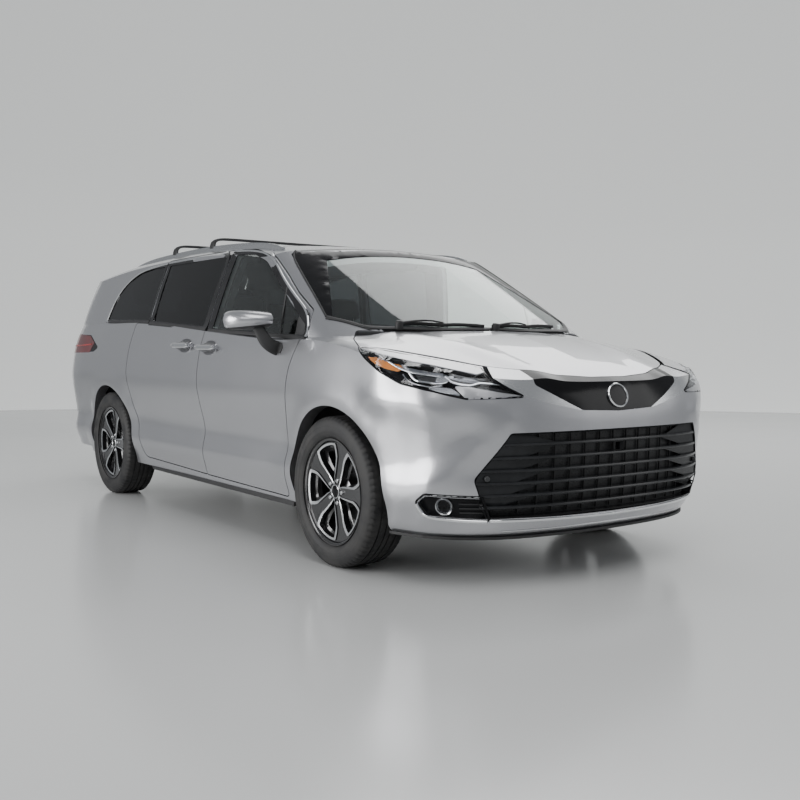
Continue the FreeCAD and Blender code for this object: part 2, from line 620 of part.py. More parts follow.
floorProfile = [(-2430, 350, 30), (-1960, 350, 30), (-1900, 440, 30), (-1180, 440, 30), (-1100, 290, 30),
                (1240, 290, 30), (1240, 330, 0), (-1080, 330, 30), (-1160, 480, 30), (-1920, 480, 30),
                (-1980, 390, 30), (-2430, 390, 0)]
floor = plate(floorProfile, 852).cut(bothHouses)
sill = boxAt(-930, 1140, 770, 852, 262, 400)
floor = floor.fuse(sill).fuse(mirror(sill)).common(wholeInner.fuse(boxAt(-2000, 1240, -900, 900, 250, 330)))
doorSweep = boxAt(600, 1180, 840, 900, 282, 520)
floor = floor.cut(bothHouses).cut(both(doorSweep)).removeSplitter()
floor = largest(floor.cut(both(sideHalf)).cut(both(pillarHalf)).cut(both(rearBumperHalf)).cut(both(fenderHalf)))

hingeX = size("doorHingeX")
hingeY = size("doorHingeY")
hingeRadius = size("hingeRadius")
fit = size("runningFit")
hingeLevels = (805, 925)
hingeHalf = 16
pocketHalf = 26
armNear = 834


def doorHinges():
    """Body leaves of the door hinges, the pockets in the door and the pins that run through them."""
    leaves = []
    pockets = []
    pins = []
    for level in hingeLevels:
        low = level - hingeHalf
        high = level + hingeHalf
        eye = Part.makeCylinder(hingeRadius + 4, high - low, Vector(hingeX, hingeY, low))
        arm = boxAt(hingeX - 6, hingeX + 6, armNear, hingeY, low, high)
        arm = arm.fuse(boxAt(hingeX - 6, 1226, armNear, armNear + 12, low, high))
        arm = arm.fuse(boxAt(1214, 1226, armNear, 944, low, high))
        bore = Part.makeCylinder(hingeRadius + fit, 200, Vector(hingeX, hingeY, level - 100))
        leaves.append(eye.fuse(arm).cut(bore))
        pockets.append(boxAt(hingeX - 16, 1300, armNear - 30, hingeY + 10, level - pocketHalf, level + pocketHalf))
        foot = Vector(hingeX, hingeY, level - pocketHalf - 10)
        pins.append(Part.makeCylinder(hingeRadius, 2 * pocketHalf + 20, foot))
    return leaves, pockets, pins


leaves, pockets, pins = doorHinges()
fenderHalf = largest(fenderHalf.fuse(leaves[0]).fuse(leaves[1]))
frontDoorHalf = largest(frontDoorHalf.cut(pockets[0]).cut(pockets[1]).fuse(pins[0]).fuse(pins[1]))

gateX = -size("gateHingeX")
gateZ = size("gateHingeZ")
gateY = size("gateHingeY")
barrel = 5.5


def gateHinges():
    """One hinge of the tailgate: the roof's barrel with its leaf, and the gate's with its leaf and pin."""
    fixed = cylinderY(barrel, gateY - 26, gateY - fit, gateX, gateZ)
    fixed = fixed.fuse(boxAt(gateX, gateX + 12, gateY - 26, gateY - fit, gateZ - 4, gateZ))
    fixed = fixed.cut(cylinderY(2.6 + fit, gateY - 40, gateY + 40, gateX, gateZ))
    moving = cylinderY(barrel, gateY, gateY + 26, gateX, gateZ)
    moving = moving.fuse(boxAt(gateX - 12, gateX, gateY, gateY + 26, gateZ - 4, gateZ))
    moving = moving.fuse(cylinderY(2.6, gateY - 26, gateY + 4, gateX, gateZ))
    return fixed, moving


gateFixed, gateMoving = gateHinges()
roofHalf = largest(roofHalf.fuse(gateFixed))
gateHalf = largest(gateHalf.fuse(gateMoving))

hoodX = size("hoodHingeX")
hoodY = size("hoodHingeY")
hoodZ = size("hoodHingeZ")
troughDrop = 58
troughPlan = [(1640, -10, 0), (1640, 300, 0), (1560, 560, 0), (1420, 770, 0), (1420, 806, 0), (1560, 806, 0),
              (1640, 740, 0), (1715, 560, 0), (1748, 300, 0), (1748, -10, 0)]
troughBand = crownSolid(hoodLine, halfWidth, troughDrop + 8).common(planPrism(troughPlan, 900, 1400))
trough = troughBand.cut(crownSolid(hoodLine, halfWidth, troughDrop))
riser = planPrism(grown(screenPlan, -2), 1000, 1400).cut(planPrism(grown(screenPlan, -12), 990, 1410))
riser = riser.common(troughBand).common(bodyHalf(10, 10))
rib = boxAt(1570, 1600, 100, 140, 1084, 1130).cut(crownSolid(hoodLine, halfWidth, troughDrop))
hingePost = boxAt(hoodX - 14, hoodX + 14, hoodY + 4, hoodY + 10, hoodZ - 60, hoodZ).fuse(
    cylinderY(14, hoodY + 4, hoodY + 10, hoodX, hoodZ))
hingePost = hingePost.cut(cylinderY(hingeRadius + fit, hoodY - 20, hoodY + 20, hoodX, hoodZ))
hingePost = hingePost.common(troughBand)
cowlHalf = trough.fuse(riser).fuse(rib).fuse(hingePost)
hoodArm = boxAt(hoodX, hoodX + 110, hoodY - 6, hoodY, hoodZ - 13, hoodZ + 6).fuse(
    cylinderY(10, hoodY - 6, hoodY, hoodX, hoodZ))
hoodArm = hoodArm.fuse(cylinderY(hingeRadius, hoodY - 6, hoodY + 10, hoodX, hoodZ))
hoodArm = hoodArm.cut(crownSolid(hoodLine, halfWidth, 10).common(planPrism(troughPlan, 900, 1400)))
hoodHalf = largest(hoodHalf.fuse(hoodArm))

firewallProfile = [(1240, 290, 0), (1264, 290, 0), (1264, 985, 20), (1600, 1082, 0), (1600, 1104, 0),
                   (1240, 1008, 20)]
firewall = plate(firewallProfile, 780).common(wholeInner).cut(bothHouses)
apron = boxAt(1264, 2330, 470, 500, 300, 800)
tower = Part.makeCylinder(132, 170, Vector(frontAxle, 648, 780))
tower = tower.cut(Part.makeCylinder(122, 160, Vector(frontAxle, 648, 780)))
ball = Vector(frontAxle, size("ballJointY"), size("ballJointZ"))
top = Vector(frontAxle, size("strutTopY"), size("strutTopZ"))
kingpin = top.sub(ball)
kingpin.normalize()
pinRadius = 12
pinBore = Part.makeCylinder(pinRadius + size("runningFit"), 900, ball - kingpin * 60, kingpin)
tower = tower.cut(pinBore)
towerTie = boxAt(frontAxle - 110, frontAxle + 110, 470, 560, 790, 950)
towerTie = towerTie.cut(Part.makeCylinder(122, 200, Vector(frontAxle, 648, 770)))
support = boxAt(2330, 2370, -10, 620, 345, 830)
window = boxAt(2300, 2400, -20, 420, 340, 760)
bay = apron.fuse(tower).fuse(towerTie).fuse(support.cut(window))
core = boxAt(2338, 2362, -10, 420, 340, 760)
bay = bay.fuse(core)
beam = boxAt(2370, 2600, 330, 400, 470, 560).cut(both(frontBumperHalf)).cut(grilleHalf)
frontStructure = firewall.fuse(bay).fuse(mirror(bay)).removeSplitter()
frontStructure = largest(frontStructure.cut(floor).cut(both(fenderHalf)).cut(both(fogHalf)))
cowl = largest(whole(cowlHalf).cut(frontStructure).cut(both(fenderHalf)).cut(both(screenHalf)))


def liner(x, near, top):
    """Arched lining over a wheel with its inner wall."""
    arch = cylinderY(linerOuter, near, 935, x, wheelZ)
    arch = arch.cut(cylinderY(linerOuter - linerWall, near + linerWall, 1000, x, wheelZ))
    arch = arch.cut(boxAt(x - 600, x + 600, near - 10, 1000, -200, 292))
    if top:
        arch = arch.cut(Part.makeCylinder(134, 500, Vector(frontAxle, 648, 500)))
        arch = arch.cut(boxAt(x - 134, x + 134, near - 1, 648, 480, 900))
    else:
        arch = arch.cut(boxAt(x - 74, x + 74, near - 1, near + 60, 200, 456))
    return largest(arch.common(inner))


frontLiner = liner(frontAxle, frontInner, True)
rearLiner = liner(rearAxle, rearInner, False)


shaftRadius = 28
shaftBore = shaftRadius + size("runningFit")


def turnedY(profile, x, z):
    """Solid turned about the axle line from (distance along the axle, radius) points."""
    points = [Vector(x, y, z + r) for y, r in profile]
    wire = Part.makePolygon(points + [points[0]])
    return Part.Face(wire).revolve(Vector(x, 0, z), Vector(0, 1, 0), 360)


def tyre(x):
    half = size("tyreWidth") / 2
    tread = size("treadWidth") / 2
    bead = size("beadRadius")
    radius = size("tyreRadius")
    profile = [(-94, bead), (-half, bead + 46), (-tread, radius - 1), (tread, radius - 1), (half, bead + 46),
               (94, bead)]
    crown = [(wheelY + y, r) for y, r in profile]
    return turnedY(crown, x, wheelZ)


def rim(x):
    flange = size("flangeRadius")
    bead = size("beadRadius") - 0.3
    thick = size("barrelWall")
    profile = [(-108, flange), (-99.4, flange), (-94.4, bead), (94.4, bead), (99.4, flange), (108, flange),
               (108, bead - thick), (88, bead - thick), (60, bead - thick - 14), (-108, bead - thick)]
    barrel = turnedY([(wheelY + y, r) for y, r in profile], x, wheelZ)
    face = turnedY([(wheelY + size("hubSeat"), 40), (wheelY + size("hubSeat"), size("hubRadius")),
                    (wheelY + 66, 150), (wheelY + 66, bead - thick + 3), (wheelY + 96, bead - thick + 3),
                    (wheelY + 94, 150), (wheelY + size("hubFace"), size("hubRadius")), (wheelY + size("hubFace"), 0),
                    (wheelY + 60, 0), (wheelY + 60, 40)], x, wheelZ)
    for i in range(5):
        window = [(92, -24, 12), (92, 24, 12), (150, 62, 20), (205, 84, 30), (229, 44, 20), (229, -44, 20),
                  (205, -84, 30), (150, -62, 20)]
        angle = math.radians(72 * i)
        wire = rounded(window, lambda r, t: Vector(x + r * math.cos(angle) - t * math.sin(angle), wheelY,
                                                   wheelZ + r * math.sin(angle) + t * math.cos(angle)))
        face = face.cut(Part.Face(wire).extrude(Vector(0, 160, 0)))
    disc = turnedY([(wheelY - size("discSeat") - 26, 60), (wheelY - size("discSeat") - 26, size("discRadius")),
                    (wheelY - size("discSeat"), size("discRadius")), (wheelY - size("discSeat"), 84),
                    (wheelY + size("hubSeat"), 84), (wheelY + size("hubSeat"), 0), (wheelY - 156, 0),
                    (wheelY - 156, shaftRadius), (wheelY + 30, shaftRadius), (wheelY + 30, 60)], x, wheelZ)
    return barrel.fuse(face).fuse(disc).removeSplitter()


def between(start, finish, radius):
    line = finish.sub(start)
    return Part.makeCylinder(radius, line.Length, start, line)


def knuckle():
    """Hub carrier with its strut, spring and brake caliper."""
    carrier = cylinderY(82, 700, 752, frontAxle, wheelZ)
    foot = Part.makeCone(22, 36, 100, ball + kingpin * 22, kingpin)
    pin = Part.makeCylinder(pinRadius, 62, ball - kingpin * 34, kingpin)
    topPin = Part.makeCylinder(pinRadius, 56, top - kingpin * 26, kingpin)
    lower = Vector(frontAxle, 680, 400)
    strut = between(lower, top, size("strutRadius"))
    along = top.sub(lower)
    along.normalize()
    spring = Part.makeCylinder(size("springRadius"), 230, top.sub(along * 270), along)
    seat = Part.makeCylinder(size("springRadius") + 12, 12, top.sub(along * 282), along)
    mount = Part.makeCylinder(58, 16, top.sub(along * 32), along)
    clamp = boxAt(frontAxle - 30, frontAxle + 30, 650, 736, 400, 470)
    caliper = boxAt(frontAxle - 196, frontAxle - 110, 758, 846, wheelZ - 70, wheelZ + 70)
    discInner = wheelY - size("discSeat")
    slot = cylinderY(size("discRadius") + 5, discInner - 32, discInner + 6, frontAxle, wheelZ)
    bracket = boxAt(frontAxle - 180, frontAxle - 60, 716, 764, wheelZ - 40, wheelZ + 40)
    body = carrier.fuse(foot).fuse(pin).fuse(topPin).fuse(strut).fuse(spring).fuse(seat).fuse(mount)
    body = body.fuse(clamp).fuse(bracket)
    body = body.fuse(caliper.cut(slot))
    bore = cylinderY(shaftBore, 600, 900, frontAxle, wheelZ)
    return largest(body.cut(bore))


knuckleLeft = knuckle()


def subframe():
    cross = boxAt(1480, 1750, -420, 420, 216, 270)
    arm = boxAt(frontAxle - 40, frontAxle + 40, 400, 744, 176, 200)
    arm = arm.fuse(Part.makeCylinder(40, 24, Vector(frontAxle, size("ballJointY") + 4, 176))).cut(pinBore)
    web = boxAt(frontAxle - 60, frontAxle + 60, 380, 430, 176, 230)
    rack = cylinderY(30, -400, 400, 1470, 300)
    legs = boxAt(1440, 1500, 320, 400, 250, 300)
    post = boxAt(1500, 1720, 440, 470, 216, 320).fuse(boxAt(1500, 1720, 400, 470, 216, 240))
    half = arm.fuse(web).fuse(legs).fuse(post)
    return cross.fuse(half).fuse(mirror(half)).fuse(rack).removeSplitter()


def rearAxlePiece():
    beam = cylinderY(38, -700, 700, rearAxle, 300)
    hub = boxAt(rearAxle - 60, rearAxle + 60, 660, 752, 262, 440)
    arm = boxAt(rearAxle, rearAxle + 380, 560, 620, 270, 330)
    lug = boxAt(rearAxle + 340, rearAxle + 372, 560, 620, 270, 420)
    spring = Part.makeCylinder(56, 440 - 320, Vector(rearAxle - 0, 560, 320))
    caliper = boxAt(rearAxle - 190, rearAxle - 110, 758, 846, wheelZ - 60, wheelZ + 60)
    discInner = wheelY - size("discSeat")
    slot = cylinderY(size("discRadius") + 5, discInner - 32, discInner + 6, rearAxle, wheelZ)
    bracket = boxAt(rearAxle - 180, rearAxle, 716, 764, wheelZ - 40, wheelZ + 40)
    half = hub.fuse(arm).fuse(lug).fuse(spring).fuse(caliper.cut(slot)).fuse(bracket)
    bore = cylinderY(shaftBore, 600, 900, rearAxle, wheelZ)
    half = half.cut(bore)
    return largest(beam.fuse(half).fuse(mirror(half)).cut(floor).removeSplitter())


def seat(x, y, width, level, stand):
    """Seat with its base, cushion, leaning back and head restraint."""
    cushion = boxAt(x - 250, x + 250, y - width / 2, y + width / 2, level + 230, level + 360)
    cushion = cushion.makeFillet(40, cushion.Edges)
    back = boxAt(-70, 60, y - width / 2 + 15, y + width / 2 - 15, 0, 640)
    back = back.makeFillet(40, back.Edges)
    rest = boxAt(-60, 40, y - 130, y + 130, 670, 850)
    rest = rest.makeFillet(36, rest.Edges)
    stalk = boxAt(-14, 6, y - 60, y - 48, 600, 700).fuse(boxAt(-14, 6, y + 48, y + 60, 600, 700))
    upper = back.fuse(rest).fuse(stalk)
    upper.rotate(Vector(0, 0, 0), Vector(0, 1, 0), -20)
    upper.translate(Vector(x - 240, 0, level + 300))
    base = boxAt(x - 220, x + 180, y - width / 2 + 50, y + width / 2 - 50, stand, level + 240)
    return cushion.fuse(upper).fuse(base).removeSplitter()


dashProfile = [(1240, 700, 0), (1120, 640, 40), (1000, 700, 60), (900, 800, 80), (880, 960, 60), (960, 1050, 60),
               (1100, 1092, 80), (1500, 1150, 30), (1500, 1076, 0), (1240, 1008, 0)]
dash = plate(dashProfile, 716)
console = boxAt(60, 1050, -116, 116, 330, 640).fuse(boxAt(820, 1240, -116, 116, 330, 900))
dash = largest(dash.fuse(console).common(wholeInner).cut(frontStructure).cut(floor))

tilt = math.radians(size("wheelTilt"))
axis = Vector(-math.cos(tilt), 0, math.sin(tilt))
centre = Vector(size("steeringWheelX"), size("steeringWheelY"), size("steeringWheelZ"))


def steeringWheel():
    ring = Part.makeTorus(size("steeringWheelRadius"), size("steeringRimRadius"))
    hub = Part.makeCylinder(66, 50, Vector(0, 0, -40))
    spokes = boxAt(-14, 14, -180, 180, -22, -8).fuse(boxAt(-180, 0, -20, 20, -22, -8))
    shaft = Part.makeCylinder(11, 120, Vector(0, 0, -150))
    shape = ring.fuse(hub).fuse(spokes).fuse(shaft).removeSplitter()
    turn = FreeCAD.Rotation(Vector(0, 0, 1), axis)
    shape.Placement = FreeCAD.Placement(centre, turn)
    return shape


column = Part.makeCylinder(34, 330, centre - axis * 46, axis * -1)
column = column.fuse(Part.makeCylinder(52, 200, centre - axis * 90, axis * -1))
column = column.cut(Part.makeCylinder(11 + size("runningFit"), 130, centre - axis * 40, axis * -1))
dash = largest(dash.cut(column).cut(cowl))
sillTrim = sidePrism([(-760, 240, 0), (1160, 236, 0), (1175, 262, 0), (-780, 262, 0)], 856, 918)


lipLevel = 236
lipHeight = 12


def frontLip():
    """Lip under the front bumper that follows its lower edge."""
    edge = [p for p in plainRow(lipLevel, 0) if p.x > 2030]
    prisms = []
    for by in (14, -60):
        points = [(p.x, p.y, 0) for p in edge]
        points = points[:-1] + [(edge[-1].x, -1, 0), (1900, -1, 0), (1900, edge[0].y, 0)]
        prisms.append(planPrism(grown(points, by), lipLevel - lipHeight, lipLevel))
    lip = prisms[0].cut(prisms[1]).common(boxAt(2010, 2700, 0, 1100, 0, 400))
    return lip.cut(frontBumperHalf).cut(steerRoom)


def roofRail():
    """Raised rail that follows the roof's edge."""
    outline = [(-1680, 1600, 0), (-1680, 1664, 0), (-1474, 1706, 200), (-900, 1726, 900), (-300, 1730, 900),
               (200, 1713, 600), (534, 1684, 200), (640, 1646, 0), (640, 1600, 0)]
    return largest(sidePrism(outline, 664, 694).cut(outer))


def box(name, **fields):
    """Box whose sides and corner follow the sheet: each field is an expression in its names."""
    item = doc.addObject("Part::Box", name)
    for field, formula in fields.items():
        bind(item, field, formula)
    return item


def bind(item, field, formula):
    for alias in sorted(dimensions, key=len, reverse=True):
        formula = re.sub(r"(?<![A-Za-z.])%s(?![A-Za-z])" % alias, "Sizes." + alias, formula)
    item.setExpression("Placement.Base." + field if field in ("x", "y", "z") else field, formula)


rail = roofRail()
rails = doc.addObject("Part::Feature", "rails")
rails.Shape = both(rail)
crossParts = [rails]
for name, place in (("front", "barFront"), ("back", "barBack")):
    middle = place + " - barLength / 2"
    crossParts.append(box(name + "Bar", Length="barLength", Width="2 * barHalf", Height="barHeight", x=middle,
                          y="-barHalf", z="barBottom"))
    for side, near in (("Left", "railNear"), ("Right", "-railNear - railWidth")):
        crossParts.append(box(name + "Foot" + side, Length="barLength", Width="railWidth",
                              Height="barBottom - railTop", x=middle, y=near, z="railTop"))
roofRails = doc.addObject("Part::MultiFuse", "roof_rails")
roofRails.Shapes = crossParts
roofRails.Refine = True

engine = box("engine", Length="engineLength", Width="engineWidth", Height="engineHeight", x="engineBack",
             y="engineRight", z="engineBottom")
tankBox = box("tankBox", Length="tankLength", Width="tankWidth", Height="tankHeight", x="tankBack", y="tankRight",
              z="tankBottom")
doc.recompute()
tank = doc.addObject("Part::Fillet", "fuel_tank")
tank.Base = tankBox
tank.Edges = [(number, 28, 28) for number in range(1, 13)]
pipe = doc.addObject("Part::Cylinder", "pipe")
for field, formula in (("Radius", "pipeRadius"), ("Height", "pipeLength"), ("x", "pipeBack"), ("y", "pipeY"),
                       ("z", "pipeZ")):
    bind(pipe, field, formula)
pipe.Placement.Rotation = FreeCAD.Rotation(Vector(0, 1, 0), 90)
exhaustParts = [pipe]
exhaustParts.append(box("muffler", Length="mufflerLength", Width="mufflerWidth", Height="mufflerHeight",
                        x="mufflerBack", y="-mufflerWidth / 2", z="mufflerBottom"))
exhaustParts.append(box("mufflerStem", Length="hangerLength", Width="2 * hangerWidth",
                        Height="floorUnderTail - mufflerBottom", x="mufflerStemBack", y="-hangerWidth",
                        z="mufflerBottom"))
exhaustParts.append(box("mufflerNeck", Length="2 * pipeRadius", Width="2 * pipeRadius", Height="2 * pipeRadius",
                        x="pipeBack - 2 * pipeRadius", y="pipeY - pipeRadius", z="pipeZ - pipeRadius"))
for name, place in (("Front", "hangerFront"), ("Back", "hangerBack")):
    exhaustParts.append(box("hanger" + name, Length="hangerLength", Width="hangerWidth",
                            Height="hangerTop - pipeZ - pipeRadius + hangerWidth", x=place,
                            y="pipeY - hangerWidth / 2", z="pipeZ + pipeRadius - hangerWidth"))
exhaust = doc.addObject("Part::MultiFuse", "exhaust")
exhaust.Shapes = exhaustParts
exhaust.Refine = True


def doorMirror():
    """Mirror housing on an arm that stands on the door."""
    plan = [(1124, 1012, 24), (1070, 1120, 80), (990, 1200, 30), (914, 1200, 20), (932, 1020, 24)]
    cap = planPrism(plan, 1158, 1272)
    cap = cap.makeFillet(18, [e for e in cap.Edges if e.BoundBox.ZLength < 1])
    arm = planPrism([(1100, 900, 0), (1060, 1040, 30), (980, 1040, 30), (1000, 900, 0)], 1052, 1164, 0)
    return largest(cap.fuse(arm).cut(outer))


mirrorHalf = doorMirror()


def pull(x, z):
    """Grip bar of a door handle, standing off the skin on two feet."""
    bar = boxAt(x - 118, x + 118, 984, 1002, z - 13, z + 13)
    bar = bar.makeFillet(7, bar.Edges)
    feet = boxAt(x - 110, x - 86, 950, 990, z - 11, z + 11).fuse(boxAt(x + 86, x + 110, 950, 990, z - 11, z + 11))
    return bar.fuse(feet)


frontDoorHalf = largest(frontDoorHalf.fuse(pull(230, 1070).cut(inner)))
slidingDoorHalf = largest(slidingDoorHalf.fuse(pull(-130, 1082).cut(inner)))

cabinFloor = size("floorHeight")
benchSunk = 130
lip = frontLip()
names = {
    "floor": floor, "side_left": sideHalf, "roof": whole(roofHalf),
    "pillars": both(pillarHalf), "front_structure": frontStructure, "fenders": both(fenderHalf),
    "front_bumper": whole(frontBumperHalf), "rear_bumper": whole(rearBumperHalf), "lower_grille": whole(grilleHalf),
    "upper_grille": whole(grillePanelHalf), "headlamps": both(headlampHalf), "tail_lamps": both(tailLampHalf),
    "windscreen": whole(screenHalf), "cowl": cowl, "hood": whole(hoodHalf),
    "sliding_door_left": slidingDoorHalf,
    "rear_side_glass": Part.makeCompound([slidingGlassHalf, quarterGlassHalf, mirror(slidingGlassHalf),
                                          mirror(quarterGlassHalf)]),
    "front_door_left": frontDoorHalf,
    "door_glass_left": frontGlassHalf,
    "tailgate": whole(gateHalf), "tailgate_glass": whole(gateGlassHalf),
    "wheel_liners": Part.makeCompound([frontLiner, mirror(frontLiner), rearLiner, mirror(rearLiner)]),
    "dashboard": dash, "steering_column": column, "steering_wheel": steeringWheel(),
    "front_seats": both(seat(size("seatFront"), size("seatMiddle"), size("seatWidth"), cabinFloor, cabinFloor)),
    "middle_seats": both(seat(size("secondRow"), size("secondMiddle"), size("secondWidth"), cabinFloor, cabinFloor)),
    "rear_bench": seat(size("thirdRow"), 0, size("thirdWidth"), size("rearFloor") - benchSunk, size("rearFloor")),
    "front_subframe": subframe(),
    "rear_axle": rearAxlePiece(), "sill_trims": Part.makeCompound([sillTrim, mirror(sillTrim), whole(lip)]),
    "knuckle_left": knuckleLeft,
    "mirror_left": mirrorHalf, "nose_trims": both(garnishHalf), "fog_lamps": both(fogHalf),
    "gate_lamps": both(gateLampHalf),
}
for place, x in (("front", frontAxle), ("rear", rearAxle)):
    tyreShape = tyre(x)
    rimShape = rim(x)
    names["tyre_%s_left" % place] = tyreShape
    names["rim_%s_left" % place] = rimShape
for name, shape in names.items():
    piece(name, shape)
for item in (engine, tank, exhaust, roofRails):
    item.Label = item.Name
    nodes[item.Name] = item
for name in ("side", "sliding_door", "front_door", "door_glass", "mirror", "knuckle", "tyre_front", "tyre_rear",
             "rim_front", "rim_rear"):
    twin = doc.addObject("Part::Mirroring", name + "_right")
    twin.Source = nodes[name + "_left"]
    twin.Normal = Vector(0, 1, 0)
    twin.Label = name + "_right"
    nodes[twin.Label] = twin
doc.recompute()
for name, item in nodes.items():
    states = " ".join(item.State)
    if "Invalid" in states or "Error" in states:
        raise RuntimeError("%s did not compute: %s" % (name, states))
    if item.Shape.isNull() or not item.Shape.isValid():
        raise RuntimeError("%s has no valid shape" % name)
os.makedirs("parts", exist_ok=True)
for name, item in nodes.items():
    print(name, [round(solid.Volume / 1e6, 3) for solid in item.Shape.Solids])
    item.Shape.exportStep("parts/%s.step" % name)
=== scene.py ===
import math

import bmesh
import bpy
import numpy
from mathutils import Matrix, Vector
from mathutils.bvhtree import BVHTree


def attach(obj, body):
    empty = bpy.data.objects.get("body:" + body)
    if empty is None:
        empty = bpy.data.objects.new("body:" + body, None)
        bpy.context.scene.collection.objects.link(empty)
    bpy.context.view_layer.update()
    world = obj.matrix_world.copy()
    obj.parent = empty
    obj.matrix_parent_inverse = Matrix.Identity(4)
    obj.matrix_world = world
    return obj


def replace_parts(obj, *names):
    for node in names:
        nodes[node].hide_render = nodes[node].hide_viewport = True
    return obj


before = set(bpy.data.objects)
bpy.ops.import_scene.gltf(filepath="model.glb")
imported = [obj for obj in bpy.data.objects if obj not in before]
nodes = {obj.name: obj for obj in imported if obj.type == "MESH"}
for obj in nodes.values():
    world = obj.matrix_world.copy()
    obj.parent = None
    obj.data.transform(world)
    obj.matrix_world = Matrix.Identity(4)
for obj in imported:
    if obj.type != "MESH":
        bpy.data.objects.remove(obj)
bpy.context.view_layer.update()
hands = ((1, "left"), (-1, "right"))

# Camera at the photograph's place, in metres and degrees.
view = {"place": (5.786, -3.547, 1.076), "yaw": 144.33, "pitch": -3.0, "roll": 0.2, "focal": 1009.7,
        "pixels": 800, "sensor": 36, "farthest": 200}


def keep(obj):
    bpy.context.collection.objects.link(obj)
    return obj


# New object from a bmesh, which is freed.
def fromMesh(name, mesh, *finishes):
    data = bpy.data.meshes.new(name)
    mesh.to_mesh(data)
    mesh.free()
    for finish in finishes:
        data.materials.append(finish)
    return keep(bpy.data.objects.new(name, data))


def makeCamera():
    data = bpy.data.cameras.new("camera")
    data.sensor_width = view["sensor"]
    data.lens = view["focal"] / view["pixels"] * data.sensor_width
    data.clip_end = view["farthest"]
    camera = keep(bpy.data.objects.new("camera", data))
    yaw = math.radians(view["yaw"])
    pitch = math.radians(view["pitch"])
    ahead = Vector((math.cos(pitch) * math.cos(yaw), math.cos(pitch) * math.sin(yaw), math.sin(pitch)))
    turn = ahead.to_track_quat("-Z", "Y").to_matrix().to_4x4()
    roll = Matrix.Rotation(math.radians(view["roll"]), 4, "Z")
    camera.matrix_world = Matrix.Translation(view["place"]) @ turn @ roll
    bpy.context.scene.camera = camera


def material(name, base, metallic=0.0, roughness=0.5, coat=0.0):
    made = bpy.data.materials.new(name)
    made.use_nodes = True
    shader = made.node_tree.nodes["Principled BSDF"]
    values = {"Base Color": (*base, 1), "Metallic": metallic, "Roughness": roughness, "Coat Weight": coat,
              "Coat Roughness": 0.03}
    for key, value in values.items():
        shader.inputs[key].default_value = value
    return made, made.node_tree, shader


# Output of a noise that reads Object coordinates.
def objectNoise(tree, scale, detail=4.0, kind="ShaderNodeTexNoise"):
    coords = tree.nodes.new("ShaderNodeTexCoord")
    noise = tree.nodes.new(kind)
    noise.inputs["Scale"].default_value = scale
    if "Detail" in noise.inputs:
        noise.inputs["Detail"].default_value = detail
    tree.links.new(coords.outputs["Object"], noise.inputs["Vector"])
    return noise.outputs["Distance" if kind.endswith("Voronoi") else "Fac"]


def varyColour(tree, shader, source, dark, light, low=0.35, high=0.65):
    ramp = tree.nodes.new("ShaderNodeValToRGB")
    for element, place, colour in zip(ramp.color_ramp.elements, (low, high), (dark, light)):
        element.position = place
        element.color = (*colour, 1)
    tree.links.new(source, ramp.inputs["Fac"])
    tree.links.new(ramp.outputs["Color"], shader.inputs["Base Color"])


def varyRoughness(tree, shader, source, low, high):
    span = tree.nodes.new("ShaderNodeMapRange")
    span.inputs["To Min"].default_value = low
    span.inputs["To Max"].default_value = high
    tree.links.new(source, span.inputs["Value"])
    tree.links.new(span.outputs["Result"], shader.inputs["Roughness"])


# Patches a share lighter and darker than the base colour, with a roughness that follows them.
def mottle(tree, shader, base, share, low, high, scale=9, detail=4):
    spots = objectNoise(tree, scale, detail)
    dark, light = [tuple(v * factor for v in base) for factor in (1 - share, 1 + share)]
    varyColour(tree, shader, spots, dark, light)
    varyRoughness(tree, shader, spots, low, high)


def bump(tree, shader, source, strength, distance):
    node = tree.nodes.new("ShaderNodeBump")
    node.inputs["Strength"].default_value = strength
    node.inputs["Distance"].default_value = distance
    tree.links.new(source, node.inputs["Height"])
    tree.links.new(node.outputs["Normal"], shader.inputs["Normal"])


# Silver metallic paint: fine flake under a clear coat.
def paintMaterial():
    made, tree, shader = material("paint", (0.50, 0.505, 0.52), 0.9, 0.30, 1.0)
    varyColour(tree, shader, objectNoise(tree, 2600, 2), (0.42, 0.422, 0.44), (0.56, 0.563, 0.585))
    varyRoughness(tree, shader, objectNoise(tree, 3.0, 3), 0.27, 0.32)
    return made


def plasticMaterial(name, base, roughness, grain=900, strength=0.12, coat=0.0):
    made, tree, shader = material(name, base, 0.0, roughness, coat)
    bump(tree, shader, objectNoise(tree, grain, 3), strength, 0.0006)
    mottle(tree, shader, base, 0.2, roughness * 0.88, min(roughness * 1.12, 1))
    return made


# Polished black whose reflections stay faint.
def glossMaterial(name, base, roughness, shine=0.3):
    made, tree, shader = material(name, base, 0.0, roughness)
    shader.inputs["Specular IOR Level"].default_value = shine
    mottle(tree, shader, base, 0.2, roughness * 0.88, roughness * 1.12)
    return made


def metalMaterial(name, base, roughness, scale=300):
    made, tree, shader = material(name, base, 1.0, roughness)
    varyRoughness(tree, shader, objectNoise(tree, scale, 5), roughness * 0.7, roughness * 1.3)
    return made


def glassMaterial(name, tint, ior=1.38):
    made, tree, shader = material(name, tint, 0.0, 0.0)
    shader.inputs["Transmission Weight"].default_value = 1.0
    shader.inputs["IOR"].default_value = ior
    varyColour(tree, shader, objectNoise(tree, 6, 2), tuple(v * 0.96 for v in tint), tint)
    return made


def rubberMaterial():
    made, tree, shader = material("rubber", (0.018, 0.018, 0.019), 0.0, 0.62)
    bump(tree, shader, objectNoise(tree, 420, 6), 0.2, 0.0008)
    dust = objectNoise(tree, 14, 6)
    varyColour(tree, shader, dust, (0.012, 0.012, 0.013), (0.034, 0.033, 0.032))
    varyRoughness(tree, shader, dust, 0.5, 0.78)
    return made


